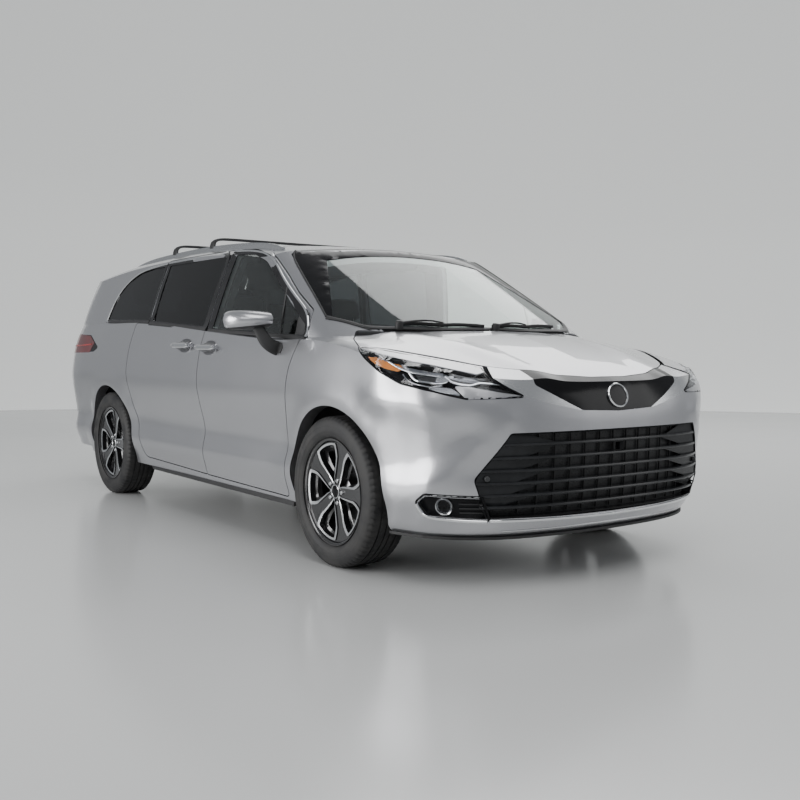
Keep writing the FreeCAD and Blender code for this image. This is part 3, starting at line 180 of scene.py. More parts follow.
def leatherMaterial(name, base):
    made, tree, shader = material(name, base, 0.0, 0.5)
    bump(tree, shader, objectNoise(tree, 620, kind="ShaderNodeTexVoronoi"), 0.25, 0.0008)
    mottle(tree, shader, base, 0.15, 0.42, 0.6, 7, 5)
    return made


def carpetMaterial():
    made, tree, shader = material("carpet", (0.05, 0.05, 0.052), 0.0, 0.95)
    bump(tree, shader, objectNoise(tree, 900, 6), 0.8, 0.002)
    varyColour(tree, shader, objectNoise(tree, 260, 5), (0.03, 0.03, 0.032), (0.075, 0.074, 0.072))
    return made


# Black panel with a fine open pattern: thin webs in dark grey, and open cells painted near black as painted
# shade of the space behind them.
def meshPanelMaterial():
    made, tree, shader = material("meshPanelShadedCells", (0.010, 0.010, 0.011), 0.0, 0.5)
    edges = objectNoise(tree, 90, kind="ShaderNodeTexVoronoi")
    edges.node.feature = "DISTANCE_TO_EDGE"
    edges = edges.node.outputs["Distance"]
    # Painted shade: the cells between the webs go near black, where the real mesh shows the dark space behind
    # it.
    varyColour(tree, shader, edges, (0.035, 0.036, 0.038), (0.002, 0.002, 0.002), 0.05, 0.14)
    bump(tree, shader, edges, 0.6, 0.004)
    return made


print("materials")
paint = paintMaterial()
blackPlastic = plasticMaterial("blackPlastic", (0.020, 0.020, 0.021), 0.55)
darkPlastic = plasticMaterial("darkPlastic", (0.045, 0.046, 0.048), 0.42, 1200, 0.06)
wheelBlack = plasticMaterial("wheelBlack", (0.012, 0.012, 0.013), 0.18, 300, 0.02, 0.8)
amber = plasticMaterial("amber", (0.80, 0.25, 0.03), 0.25, 160, 0.05, 0.8)
glossBlack = glossMaterial("glossBlack", (0.006, 0.006, 0.007), 0.14, 0.14)
frameBlack = glossMaterial("frameBlack", (0.012, 0.012, 0.013), 0.16)
gunmetal = glossMaterial("gunmetal", (0.022, 0.023, 0.025), 0.24, 0.25)
lensRed = glossMaterial("lensRed", (0.10, 0.010, 0.012), 0.08, 0.9)
guideRed = glossMaterial("guideRed", (0.30, 0.03, 0.03), 0.25, 0.5)
lensClear = glossMaterial("lensClear", (0.60, 0.61, 0.62), 0.10, 0.5)
chrome = metalMaterial("chrome", (0.86, 0.87, 0.88), 0.07)
satinMetal = metalMaterial("satinMetal", (0.62, 0.63, 0.64), 0.25)
castMetal = metalMaterial("castMetal", (0.30, 0.30, 0.31), 0.5, 90)
discMetal = metalMaterial("discMetal", (0.36, 0.36, 0.37), 0.34, 140)
machined = metalMaterial("machined", (0.72, 0.73, 0.74), 0.22, 800)
reflector = metalMaterial("reflector", (0.30, 0.31, 0.33), 0.32, 60)
# Darker grey metal for the door handle cups: painted shade of the recesses, which are not cut into the doors.
cupPaintedShade = metalMaterial("cupPaintedShade", (0.20, 0.20, 0.21), 0.34)
mirrorGlass = metalMaterial("mirrorGlass", (0.80, 0.82, 0.84), 0.02, 20)
clearGlass = glassMaterial("clearGlass", (0.78, 0.85, 0.82))
tintedGlass = glassMaterial("tintedGlass", (0.045, 0.05, 0.055))
lampGlass = glassMaterial("lampGlass", (0.93, 0.94, 0.96), 1.22)
darkLeather = leatherMaterial("darkLeather", (0.030, 0.029, 0.030))
trimSoft = leatherMaterial("trimSoft", (0.038, 0.038, 0.040))
rubber = rubberMaterial()
carpet = carpetMaterial()
meshPanelShadedCells = meshPanelMaterial()

finishes = [
    (paint, "side_left side_right roof fenders front_bumper rear_bumper hood sliding_door_left tailgate "
            "sliding_door_right front_door_left front_door_right mirror_left mirror_right"),
    (blackPlastic, "front_structure cowl wheel_liners steering_column fuel_tank sill_trims"),
    (darkPlastic, "pillars lower_grille"),
    (glossBlack, "upper_grille headlamps tail_lamps gate_lamps fog_lamps"),
    (clearGlass, "windscreen door_glass_left door_glass_right"),
    (tintedGlass, "rear_side_glass tailgate_glass"),
    (carpet, "floor"),
    (trimSoft, "dashboard"),
    (darkLeather, "steering_wheel front_seats middle_seats rear_bench"),
    (castMetal, "engine exhaust front_subframe rear_axle knuckle_left knuckle_right"),
    (satinMetal, "roof_rails nose_trims"),
    (rubber, "tyre_front_left tyre_front_right tyre_rear_left tyre_rear_right"),
    (wheelBlack, "rim_front_left rim_front_right rim_rear_left rim_rear_right"),
]
for finish, names in finishes:
    for name in names.split():
        slots = nodes[name].data.materials
        for index in range(len(slots)):
            slots[index] = finish
        if not slots:
            slots.append(finish)

# Pale glossy floor, a lit backdrop behind the vehicle and large soft lights round it.
studio = {"floorRadius": 34, "floorColour": (0.60, 0.605, 0.60), "wallColour": (0.74, 0.75, 0.74),
          "wallGlow": 0.52, "wallDistance": 18.0, "coveRadius": 3.0, "wallHeight": 12, "wallFrom": 96,
          "wallTo": 175, "wallLift": 0.002, "worldColour": (0.90, 0.93, 0.97), "worldStrength": 0.35}
lights = {  # place, target, width, height and power
    "ceiling": ((-1.5, 5.8, 6.0), (-0.5, 4.6, 0), 9, 5.5, 400),
    "ceilingFront": ((4.5, -1.5, 6.0), (2.8, -1.0, 0), 4, 5, 200),
    "rightSide": ((-0.6, -6.5, 1.8), (1.5, -0.9, 0.8), 4.4, 2.8, 320),
    "rightHigh": ((6.5, -7.0, 5.0), (1.6, -0.4, 0.7), 5, 2.0, 90),
    "frontLeft": ((8.0, 6.5, 3.0), (1.8, 0.3, 0.6), 4, 3, 90),
}


def makeFloor():
    made, tree, shader = material("studioFloor", studio["floorColour"], 0.0, 0.2)
    varyRoughness(tree, shader, objectNoise(tree, 0.35, 3), 0.14, 0.24)
    mesh = bmesh.new()
    bmesh.ops.create_circle(mesh, cap_ends=True, radius=studio["floorRadius"], segments=96)
    fromMesh("studioFloor", mesh, made)


# Backdrop that curves up from the floor on an arc about the camera.
def makeWall():
    colour = studio["wallColour"]
    made, tree, shader = material("studioWall", colour, 0.0, 0.8)
    varyColour(tree, shader, objectNoise(tree, 0.15, 2), tuple(v * 0.97 for v in colour), colour)
    shader.inputs["Emission Color"].default_value = (*colour, 1)
    shader.inputs["Emission Strength"].default_value = studio["wallGlow"]
    start = studio["wallDistance"]
    cove = studio["coveRadius"]
    angles = [math.radians(a) for a in range(0, 91, 6)]
    profile = [(start + cove * math.sin(a), cove * (1 - math.cos(a))) for a in angles]
    profile.append((start + cove, studio["wallHeight"]))
    mesh = bmesh.new()
    columns = []
    for i in range(49):
        turn = math.radians(studio["wallFrom"] + (studio["wallTo"] - studio["wallFrom"]) * i / 48)
        column = []
        for r, z in profile:
            x = view["place"][0] + r * math.cos(turn)
            y = view["place"][1] + r * math.sin(turn)
            column.append(mesh.verts.new((x, y, z + studio["wallLift"])))
        columns.append(column)
    for a, b in zip(columns, columns[1:]):
        for k in range(len(profile) - 1):
            mesh.faces.new((a[k], a[k + 1], b[k + 1], b[k]))
    wall = fromMesh("studioWall", mesh, made)
    wall.data.shade_smooth()


def makeLights():
    world = bpy.data.worlds.new("world")
    bpy.context.scene.world = world
    world.use_nodes = True
    back = world.node_tree.nodes["Background"]
    back.inputs["Color"].default_value = (*studio["worldColour"], 1)
    back.inputs["Strength"].default_value = studio["worldStrength"]
    for name, (place, target, width, height, power) in lights.items():
        data = bpy.data.lights.new(name, "AREA")
        data.shape = "RECTANGLE"
        data.size = width
        data.size_y = height
        data.energy = power
        lamp = keep(bpy.data.objects.new(name, data))
        lamp.location = place
        lamp.rotation_euler = (Vector(target) - Vector(place)).to_track_quat("-Z", "Y").to_euler()


print("stage")
makeCamera()
makeFloor()
makeWall()
makeLights()


def cleanUp(data, smooth):
    mesh = bmesh.new()
    mesh.from_mesh(data)
    bmesh.ops.remove_doubles(mesh, verts=mesh.verts, dist=1e-6)
    bmesh.ops.recalc_face_normals(mesh, faces=mesh.faces)
    mesh.to_mesh(data)
    mesh.free()
    data.shade_smooth()
    data.set_sharp_from_angle(angle=math.radians(smooth))


# One object from several (vertices, faces, material index) parts.
def joined(name, parts, finishes, smooth=35):
    data = bpy.data.meshes.new(name)
    vertices = []
    faces = []
    slots = []
    for points, polygons, index in parts:
        start = len(vertices)
        vertices += [tuple(p) for p in points]
        faces += [tuple(i + start for i in f) for f in polygons]
        slots += [index] * len(polygons)
    data.from_pydata(vertices, [], faces)
    for finish in finishes:
        data.materials.append(finish)
    data.polygons.foreach_set("material_index", slots)
    cleanUp(data, smooth)
    return keep(bpy.data.objects.new(name, data))


# Piece in one material that rides on a body.
def placed(name, body, finish, vertices, faces, smooth=40):
    obj = joined(name, [(vertices, faces, 0)], [finish], smooth)
    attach(obj, body)
    return obj


# Vertices and faces of a skin through equal rings of points.
def loftRings(rings, closed=True, caps=(False, False)):
    vertices = [p for ring in rings for p in ring]
    count = len(rings[0])
    faces = []
    for row in range(0, (len(rings) - 1) * count, count):
        for i in range(count if closed else count - 1):
            j = (i + 1) % count
            faces.append((row + i, row + j, row + j + count, row + i + count))
    if caps[0]:
        faces.append(tuple(range(count - 1, -1, -1)))
    if caps[1]:
        faces.append(tuple(range(len(vertices) - count, len(vertices))))
    return vertices, faces


# Vertices and faces between a flat outline and its copy.
def prism(front, back):
    n = len(front)
    rows = [tuple(range(n)), tuple(reversed(range(n, 2 * n)))]
    return front + back, rows + [(i, (i + 1) % n, (i + 1) % n + n, i + n) for i in range(n)]


def circle(count):
    angles = [2 * math.pi * i / count for i in range(count)]
    return [(math.cos(a), math.sin(a)) for a in angles]


# Rings about the Y axis from (y, radius) points; a radius of zero closes the end.
def revolved(profile, count=96):
    return loftRings([[Vector((r * c, y, r * s)) for c, s in circle(count)] for y, r in profile])


print("wheels")
wheel = {"radius": 0.370, "width": 0.235, "trackHalf": 0.862, "spokes": 5, "windowOuter": 0.238,
         "windowHalf": 0.089, "windowKnee": 0.163, "windowApex": 0.036, "band": 0.010, "face": 0.092,
         "hubFace": 0.080, "hubRadius": 0.03, "faceReach": 0.245, "rimLine": 0.2445, "nutCircle": 0.057,
         "discVents": 30, "treadSteps": 288}
axles = {"front_left": 1.617, "front_right": 1.617, "rear_left": -1.443, "rear_right": -1.443}


# Height of the wheel's face over the wheel's middle plane at a radius.
def wheelFace(r):
    r = min(max(r, wheel["hubRadius"]), wheel["faceReach"])
    share = (r - wheel["hubRadius"]) / (wheel["faceReach"] - wheel["hubRadius"])
    rise = (wheel["face"] - wheel["hubFace"]) * (1 - (1 - share) ** 2)
    return wheel["hubFace"] + rise - 0.006 * math.sin(share * math.pi)


# Home-plate shaped window round the positive X direction, as (x, z) in the wheel's plane.
def windowOutline(inset):
    outer = wheel["windowOuter"] - inset
    half = wheel["windowHalf"] - inset * (1.55 if inset else 1)
    knee = wheel["windowKnee"] - inset * 0.35
    apex = wheel["windowApex"] + inset * 1.2
    corner = math.asin((half - 0.004) / outer)
    angles = [-corner + 2 * corner * i / 12 for i in range(13)]
    arc = [(outer * math.cos(a), outer * math.sin(a)) for a in angles]
    flank = [(outer * math.cos(corner) - 0.008, half), (knee + 0.02, half - 0.003),
             (knee - 0.006, half - 0.010), (apex + (knee - apex) * 0.55, half * 0.50),
             (apex + 0.022, 0.0135), (apex, 0.0055)]
    return arc + flank + [(x, -z) for x, z in reversed(flank)]


def spun(points, angle):
    c = math.cos(angle)
    s = math.sin(angle)
    return [(x * c - z * s, x * s + z * c) for x, z in points]


def faceRing(points, drop, shrink=1.0):
    return [Vector((x * shrink, wheelFace(math.hypot(x, z)) - drop, z * shrink)) for x, z in points]


# Flat filling between outlines, cut finely and laid on the wheel's face.
def filledFace(outlines, drop, grid=0.016, reach=0.26):
    mesh = bmesh.new()
    outlined(mesh, [[(x, 0, z) for x, z in outline] for outline in outlines], (0, 1, 0))
    step = -reach
    while step < reach:
        for normal in ((1, 0, 0), (0, 0, 1)):
            sliced(mesh, Vector(normal) * step, normal)
        step += grid
    mesh.verts.index_update()
    points = [Vector((v.co.x, wheelFace(math.hypot(v.co.x, v.co.z)) - drop, v.co.z)) for v in mesh.verts]
    faces = [tuple(v.index for v in face.verts) for face in mesh.faces]
    mesh.free()
    return points, faces


# Fill between closed loops of points.
def outlined(mesh, loops, normal):
    for loop in loops:
        verts = [mesh.verts.new(p) for p in loop]
        for a, b in zip(verts, verts[1:] + verts[:1]):
            mesh.edges.new((a, b))
    bmesh.ops.triangle_fill(mesh, edges=mesh.edges, use_beauty=True, normal=normal)


def sliced(mesh, place, normal, **clear):
    whole = mesh.verts[:] + mesh.edges[:] + mesh.faces[:]
    return bmesh.ops.bisect_plane(mesh, geom=whole, plane_co=place, plane_no=normal, **clear)


# Two-tone wheel about the origin, face towards +Y: machined outlines round five dark windows.
def wheelMesh():
    parts = []
    outer = windowOutline(0)
    inner = windowOutline(wheel["band"])
    lip = windowOutline(wheel["band"] + 0.012)
    outlines = [[(c * wheel["rimLine"], s * wheel["rimLine"]) for c, s in circle(120)]]
    fork = [(0.168, 0.004), (0.238, 0.038), (0.2385, 0.0), (0.238, -0.038), (0.168, -0.004), (0.160, 0.0)]
    for k in range(wheel["spokes"]):
        angle = math.pi + 2 * math.pi * k / wheel["spokes"]
        outerTurned = spun(outer, angle)
        innerTurned = spun(inner, angle)
        outlines.append(outerTurned)
        top = faceRing(outerTurned, 0.0)
        inside = faceRing(innerTurned, 0.0012)
        back = faceRing(innerTurned, 0.034, 1.004)
        parts.append((*loftRings([faceRing(outerTurned, 0.006), top]), 0))
        parts.append((*loftRings([top, inside]), 1))
        parts.append((*loftRings([inside, back]), 0))
        parts.append((*loftRings([back, faceRing(spun(lip, angle), 0.040)]), 0))
        rim = faceRing(spun(fork, angle + math.pi / wheel["spokes"]), 0.0048)  # groove along the spoke
        middle = sum(rim, Vector()) / len(rim)
        pit = [Vector((p.x * 0.9 + middle.x * 0.1, p.y - 0.012, p.z * 0.9 + middle.z * 0.1)) for p in rim]
        parts.append((*loftRings([rim, pit], caps=(False, True)), 0))
    parts.append((*filledFace(outlines, 0.005), 0))
    hub = wheel["hubFace"]
    rim = [(0.108, 0.2630), (0.1055, 0.2645), (0.100, 0.2640), (0.0965, 0.2560), (0.0958, 0.2500),
           (0.0920, 0.2470), (0.0870, 0.2445), (0.070, 0.2430)]
    barrel = [(0.088, 0.244), (0.060, 0.230), (0.020, 0.233), (-0.060, 0.238), (-0.100, 0.243),
              (-0.106, 0.2600), (-0.108, 0.2640), (-0.100, 0.2630), (-0.0945, 0.2535), (0.0945, 0.2535)]
    cap = [(hub + 0.004, 0.0), (hub + 0.0035, 0.018), (hub + 0.001, 0.028), (hub - 0.003, 0.031),
           (hub - 0.012, 0.0315)]
    trim = [(hub + 0.0015, 0.0295), (hub + 0.003, 0.0318), (hub + 0.0015, 0.0342), (hub - 0.008, 0.0348)]
    nut = [(hub - 0.012, 0.0125), (hub + 0.002, 0.0115), (hub + 0.005, 0.009), (hub + 0.006, 0.0)]
    for profile, count, slot in ((rim, 120, 0), (barrel, 96, 0), (cap, 48, 2), (trim, 48, 1)):
        parts.append((*revolved(profile, count), slot))
    for c, s in spun(circle(wheel["spokes"]), math.pi + math.pi / wheel["spokes"]):
        vertices, faces = revolved(nut, 6)
        parts.append(([v + Vector((c, 0, s)) * wheel["nutCircle"] for v in vertices], faces, 3))
    return joined("wheelMaster", parts, [wheelBlack, machined, glossBlack, satinMetal])


# Brake disc with its hat and vent slots, and the hub shaft behind it.
def discMesh():
    profile = [(0.045, 0.0), (0.045, 0.078), (0.042, 0.083), (-0.060, 0.084), (-0.0615, 0.090),
               (-0.062, 0.163), (-0.063, 0.165), (-0.071, 0.165), (-0.0715, 0.150), (-0.0785, 0.150),
               (-0.079, 0.165), (-0.087, 0.165), (-0.088, 0.163), (-0.088, 0.060), (-0.088, 0.028),
               (-0.150, 0.028), (-0.150, 0.0)]
    parts = [(*revolved(profile), 0)]
    for c, s in circle(wheel["discVents"]):
        block = [Vector((r * c - t * s, y, r * s + t * c)) for y in (-0.0715, -0.0785)
                 for r, t in ((0.120, -0.002), (0.164, -0.002), (0.164, 0.002), (0.120, 0.002))]
        parts.append((block, [(0, 1, 5, 4), (1, 2, 6, 5), (2, 3, 7, 6), (3, 0, 4, 7)], 0))
    return joined("discMaster", parts, [discMetal])


# Road tyre about the origin: ribbed sidewalls and blocks between four grooves.
def tyreMesh():
    points = [(0.094, 0.2545), (0.0985, 0.2600), (0.1010, 0.2660), (0.1065, 0.2720), (0.1120, 0.2820),
              (0.1150, 0.2930), (0.1157, 0.2950), (0.1168, 0.2955), (0.1172, 0.2990), (0.1175, 0.3060),
              (0.1175, 0.3120), (0.1163, 0.3200), (0.1163, 0.3215), (0.1170, 0.3222), (0.1168, 0.3240),
              (0.1150, 0.3330), (0.1120, 0.3430), (0.1085, 0.3510), (0.1040, 0.3580), (0.0990, 0.3635),
              (0.0945, 0.3668), (0.0900, 0.3680), (0.0760, 0.3688), (0.0640, 0.3692)]
    for place in (0.0590, 0.0200):  # grooves
        points += [(place, 0.3694), (place - 0.0008, 0.3625), (place - 0.0092, 0.3625),
                   (place - 0.0100, 0.3696), (place - 0.020, 0.3698)]
    points = points + [(-y, r) for y, r in reversed(points)]
    count = wheel["treadSteps"]
    rings = []
    for y, r in points:
        ring = []
        for i in range(count):
            depth = 0
            if 0.066 < abs(y) < 0.105 and r > 0.352:
                depth = 0.0055 if i % 4 == 0 else 0
            elif 0.0200 < abs(y) < 0.050 and r > 0.365:
                depth = 0.004 if (i + (2 if y > 0 else 0)) % 4 == 0 else 0
            angle = 2 * math.pi * (i + (1.2 * y / 0.1 if abs(y) < 0.11 else 0)) / count
            ring.append(Vector(((r - depth) * math.cos(angle), y, (r - depth) * math.sin(angle))))
        rings.append(ring)
    return joined("tyreMaster", [(*loftRings(rings), 0)], [rubber], 42)


masters = {"wheel_face_": wheelMesh(), "brake_disc_": discMesh(), "tyre_detail_": tyreMesh()}
for place, axle in axles.items():
    side = 1 if place.endswith("left") else -1
    put = Matrix.Translation((axle, side * wheel["trackHalf"], wheel["radius"]))
    put = put @ Matrix.Diagonal((1, side, 1, 1))
    pieces = {}
    for name, master in masters.items():
        data = master.data.copy()
        data.transform(put)
        if side < 0:
            data.flip_normals()
        pieces[name] = keep(bpy.data.objects.new(name + place, data))
        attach(pieces[name], "wheel_" + place)
    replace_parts(pieces["wheel_face_"], "rim_" + place)
    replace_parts(pieces["tyre_detail_"], "tyre_" + place)
for master in masters.values():
    bpy.data.objects.remove(master)


print("trims")
skinNames = ("side_left side_right roof fenders front_bumper rear_bumper hood upper_grille tailgate "
             "sliding_door_left sliding_door_right front_door_left front_door_right headlamps tail_lamps "
             "gate_lamps rear_side_glass door_glass_left door_glass_right windscreen tailgate_glass "
             "lower_grille nose_trims fog_lamps sill_trims").split()


# Search tree over the outer panels at rest, for laying trims on them.
def skinTree(names):
    vertices = []
    faces = []
    for name in names:
        obj = nodes[name]
        start = len(vertices)
        vertices += [obj.matrix_world @ v.co for v in obj.data.vertices]
        faces += [tuple(i + start for i in p.vertices) for p in obj.data.polygons]
    return BVHTree.FromPolygons(vertices, faces)


skin = skinTree(skinNames)


# Point and outward normal where a ray meets the skin, or a pair of None.
def cast(origin, direction):
    place, normal, _, _ = skin.ray_cast(Vector(origin), Vector(direction).normalized(), 6)
    if place is None:
        return None, None
    if normal.dot(Vector(direction)) > 0:
        normal = -normal
    return place, normal


def sideAt(x, z, side):
    return cast((x, side * 1.4, z), (0, -side, 0))


def frontAt(y, z):
    return cast((3.4, y, z), (-1, 0, 0))


def rearAt(y, z):
    return cast((-3.4, y, z), (1, 0, 0))


def topAt(x, y):
    return cast((x, y, 2.4), (0, 0, -1))


def flank(side):
    return lambda x, z: sideAt(x, z, side)


# Front corner, cast along the level direction at an angle from X; u runs across that direction.
def corner(side, angle=60):
    turn = math.radians(angle)
    along = Vector((math.cos(turn), side * math.sin(turn), 0))
    across = Vector((-math.sin(turn), side * math.cos(turn), 0))
    return lambda u, z: cast(along * 4 + across * u + Vector((0, 0, z)), -along)


sheetFit = {"powersX": 5, "powersZ": 6, "columns": 25, "rows": 17, "turns": 6, "above": 0.0016,
            "below": -0.004}


# Smooth surface through the flank's outer points in a window, which bridges panel gaps and glass edges.
def flankSheet(side, fromX, toX, fromZ, toZ):
    middle = Vector(((fromX + toX) / 2, (fromZ + toZ) / 2))
    reach = Vector(((toX - fromX) / 2, (toZ - fromZ) / 2))
    powers = [(a, b) for a in range(sheetFit["powersX"]) for b in range(sheetFit["powersZ"])]

    def termsAt(x, z):
        u = (x - middle.x) / reach.x
        v = (z - middle.y) / reach.y
        return [u ** a * v ** b for a, b in powers]

    rows = []
    depths = []
    for x in numpy.linspace(fromX, toX, sheetFit["columns"]):
        for z in numpy.linspace(fromZ, toZ, sheetFit["rows"]):
            place, normal = sideAt(x, z, side)
            if place is not None and abs(place.y) > 0.5 and abs(normal.y) > 0.5:
                rows.append(termsAt(x, z))
                depths.append(abs(place.y))
    rows = numpy.array(rows)
    depths = numpy.array(depths)
    kept = depths > 0
    for turn in range(sheetFit["turns"]):
        factors = numpy.linalg.lstsq(rows[kept], depths[kept], rcond=None)[0]
        inside = rows @ factors - depths
        kept = (inside < sheetFit["above"]) & (inside > sheetFit["below"])
    print("flank sheet", side, int(kept.sum()), "of", len(depths), float(numpy.abs(inside[kept]).max()))

    def depthAt(x, z):
        return float(numpy.dot(factors, termsAt(x, z)))

    def at(x, z):
        slopeX = (depthAt(x + 0.002, z) - depthAt(x - 0.002, z)) / 0.004
        slopeZ = (depthAt(x, z + 0.002) - depthAt(x, z - 0.002)) / 0.004
        return Vector((x, side * depthAt(x, z), z)), Vector((-slopeX, side, -slopeZ)).normalized()

    return at


# Points spread evenly along a smooth line through the given ones.
def resampled(points, step):
    curve = bpy.data.curves.new("line", "CURVE")
    curve.dimensions = "3D"
    spline = curve.splines.new("NURBS")
    spline.points.add(len(points) - 1)
    for target, point in zip(spline.points, points):
        target.co = (*point, 1)
    spline.order_u = 3
    spline.use_endpoint_u = True
    spline.resolution_u = 12
    obj = keep(bpy.data.objects.new("line", curve))
    mesh = bpy.data.meshes.new_from_object(obj)
    line = [v.co.copy() for v in mesh.vertices]
    bpy.data.objects.remove(obj)
    bpy.data.meshes.remove(mesh)
    lengths = [0]
    for a, b in zip(line, line[1:]):
        lengths.append(lengths[-1] + (b - a).length)
    count = max(int(lengths[-1] / step), 2)
    result = []
    j = 0
    for i in range(count + 1):
        want = lengths[-1] * i / count
        while j < len(lengths) - 2 and lengths[j + 1] < want:
            j += 1
        span = max(lengths[j + 1] - lengths[j], 1e-9)
        result.append(line[j].lerp(line[j + 1], (want - lengths[j]) / span))
    return result


# Points spread along straight runs, keeping the corners.
def straightened(points, step):
    result = []
    for a, b in zip(points, points[1:]):
        count = max(round((Vector(b) - Vector(a)).length / step), 1)
        result += [Vector(a).lerp(Vector(b), i / count) for i in range(count)]
    return result + [Vector(points[-1])]


# Samples of place and normal on the skin along millimetre points (u, z).
def sampled(points, caster, step=0.02, spread=resampled):
    line = spread([(u / 1000, 0, z / 1000) for u, z in points], step)
    samples = [caster(p.x, p.z) for p in line]
    return [(place, normal) for place, normal in samples if place is not None]


def sunk(samples, depth):
    return [(place - normal * depth, normal) for place, normal in samples if place is not None]


# Strip with a section of (across, up) points, laid along (place, normal) samples.
def laidStrip(name, body, finish, samples, section, closed=False, smooth=40):
    rings = []
    count = len(samples)
    for i, (place, normal) in enumerate(samples):
        before = samples[i - 1][0] if i or closed else place
        after = samples[(i + 1) % count][0] if i < count - 1 or closed else place
        along = (after - before).normalized()
        across = normal.cross(along).normalized()
        up = along.cross(across).normalized()
        rings.append([place + across * a + up * b for a, b in section])
    if closed:
        rings.append(rings[0])
    return placed(name, body, finish, *loftRings(rings, caps=(not closed, not closed)), smooth)


def bead(width, height, low=-0.002):
    half = width / 2
    return [(-half, low), (-half, height * 0.45), (-half * 0.7, height * 0.88), (0, height),
            (half * 0.7, height * 0.88), (half, height * 0.45), (half, low)]


def flat(width, height, low=-0.002):
    half = width / 2
    return [(-half, low), (-half, height * 0.8), (-half + height * 0.3, height),
            (half - height * 0.3, height), (half, height * 0.8), (half, low)]


# Thin panel laid on the skin: the outline is filled, cut finely, cast on the skin and thickened.
def patch(name, body, finish, outline, caster, lift=0.0012, depth=0.004, grid=0.02, hole=()):
    mesh = bmesh.new()
    outlined(mesh, [[(u, v, 0) for u, v in loop] for loop in (outline, hole)], (0, 0, 1))
    for axis in (0, 1):
        values = [p[axis] for p in outline]
        step = min(values) + grid / 2
        normal = Vector((1 - axis, axis, 0))
        while step < max(values):
            sliced(mesh, normal * step, normal)
            step += grid
    outer = []
    inner = []
    mesh.verts.index_update()
    for vert in mesh.verts:
        place, normal = caster(vert.co.x, vert.co.y)
        if place is None:
            place, normal = Vector((0, 0, 0)), Vector((0, 0, 1))
        outer.append(place + normal * lift)
        inner.append(place + normal * (lift - depth))
    count = len(outer)
    faces = [tuple(v.index for v in f.verts) for f in mesh.faces]
    faces += [tuple(i + count for i in reversed(f)) for f in faces]
    for edge in mesh.edges:
        if edge.is_boundary:
            a, b = [v.index for v in edge.verts]
            faces.append((a, b, b + count, a + count))
    mesh.free()
    return placed(name, body, finish, outer + inner, faces)


# Outline in metres from millimetre points (u, v, radius) whose corners are rounded.
def roundedOutline(points, steps=6):
    result = []
    count = len(points)
    for i, (u, v, radius) in enumerate(points):
        here = Vector((u, v)) / 1000
        before = Vector(points[i - 1][:2]) / 1000 - here
        after = Vector(points[(i + 1) % count][:2]) / 1000 - here
        if radius < 1:
            result.append(here)
            continue
        bend = before.angle(after) / 2
        reach = min(radius / 1000 / math.tan(bend), before.length * 0.48, after.length * 0.48)
        start = here + before.normalized() * reach
        end = here + after.normalized() * reach
        for k in range(steps + 1):
            t = k / steps
            result.append(start.lerp(here, t).lerp(here.lerp(end, t), t))
    return result


# Closed outline moved outwards by a distance in metres, or inwards where it is negative.
def shifted(outline, by):
    area = sum(a.x * b.y - b.x * a.y for a, b in zip(outline, outline[1:] + outline[:1]))
    turn = 1 if area > 0 else -1
    result = []
    for i, here in enumerate(outline):
        before = here - outline[i - 1]
        after = outline[(i + 1) % len(outline)] - here
        if before.length < 1e-6 or after.length < 1e-6:
            continue
        first = Vector((before.y, -before.x)).normalized() * turn
        second = Vector((after.y, -after.x)).normalized() * turn
        middle = first + second
        if middle.length < 1e-3:
            continue
        middle.normalize()
        result.append(here + middle * (by / max(middle.dot(first), 0.4)))
    return result


# Outline resampled so that no run is longer than a step, for laying on the skin.
def thinned(outline, step):
    result = []
    for a, b in zip(outline, outline[1:] + outline[:1]):
        count = max(math.ceil((b - a).length / step), 1)
        result += [a.lerp(b, i / count) for i in range(count)]
    return result


# Outline of rounded millimetre points, ready for a patch.
def rounded(points, step=0.03, grow=0):
    outline = roundedOutline(points)
    return thinned(shifted(outline, grow) if grow else outline, step)


# Black frames round the side windows with a bright strip above them and a seal along the belt.
windowTrim = {"chrome": (0.013, 0.0062), "belt": (0.020, 0.004), "frameLift": 0.0030}
windows = {
    "front": {
        "frame": [(1299, 1112, 0), (1302, 1176, 24), (1260, 1258, 60), (1078, 1358, 400), (903, 1466, 400),
                  (688, 1590, 500), (518, 1644, 300), (219, 1656, 16), (102, 1178, 200), (101, 1160, 0)],
        "glass": [(1262, 1132, 12), (1270, 1190, 30), (1050, 1322, 500), (880, 1434, 300), (676, 1560, 300),
                  (500, 1616, 200), (276, 1626, 16), (158, 1180, 12)],
        "top": [(1296, 1126), (1297, 1178), (1256, 1256), (1075, 1353), (899, 1461), (685, 1584), (516, 1637),
                (226, 1649)],
        "belt": [(1290, 1117), (1262, 1122), (967, 1135), (281, 1166), (106, 1174)],
        "sheet": (0.09, 1.31, 1.10, 1.665),
    },
    "sliding": {
        "frame": [(86, 1168, 0), (90, 1180, 0), (202, 1656, 16), (-752, 1648, 16), (-843, 1228, 0),
                  (-846, 1218, 0)],
        "glass": [(30, 1196, 12), (162, 1622, 20), (-724, 1624, 20), (-798, 1244, 12)],
        "top": [(194, 1649), (-100, 1648), (-742, 1640)],
        "belt": [(84, 1180), (-28, 1188), (-450, 1212), (-842, 1234)],
        "sheet": (-0.86, 0.21, 1.16, 1.665),
    },
    "quarter": {
        "frame": [(-866, 1226, 0), (-764, 1648, 12), (-1000, 1634, 300), (-1240, 1614, 400),
                  (-1456, 1551, 300), (-1609, 1449, 200), (-1722, 1268, 16), (-1700, 1258, 10)],
        "glass": [(-876, 1250, 12), (-790, 1622, 20), (-1000, 1622, 300), (-1236, 1602, 400),
                  (-1450, 1540, 300), (-1600, 1440, 200), (-1700, 1272, 16)],
        "top": [(-776, 1640), (-1000, 1629), (-1238, 1609), (-1453, 1546), (-1605, 1445), (-1716, 1270),
                (-1700, 1257), (-1660, 1255)],
        "belt": [(-864, 1238), (-1300, 1249), (-1704, 1260)],
        "sheet": (-1.73, -0.76, 1.22, 1.655),
    },
}
windowBar = [(985, 1400), (998, 1290), (1012, 1140)]
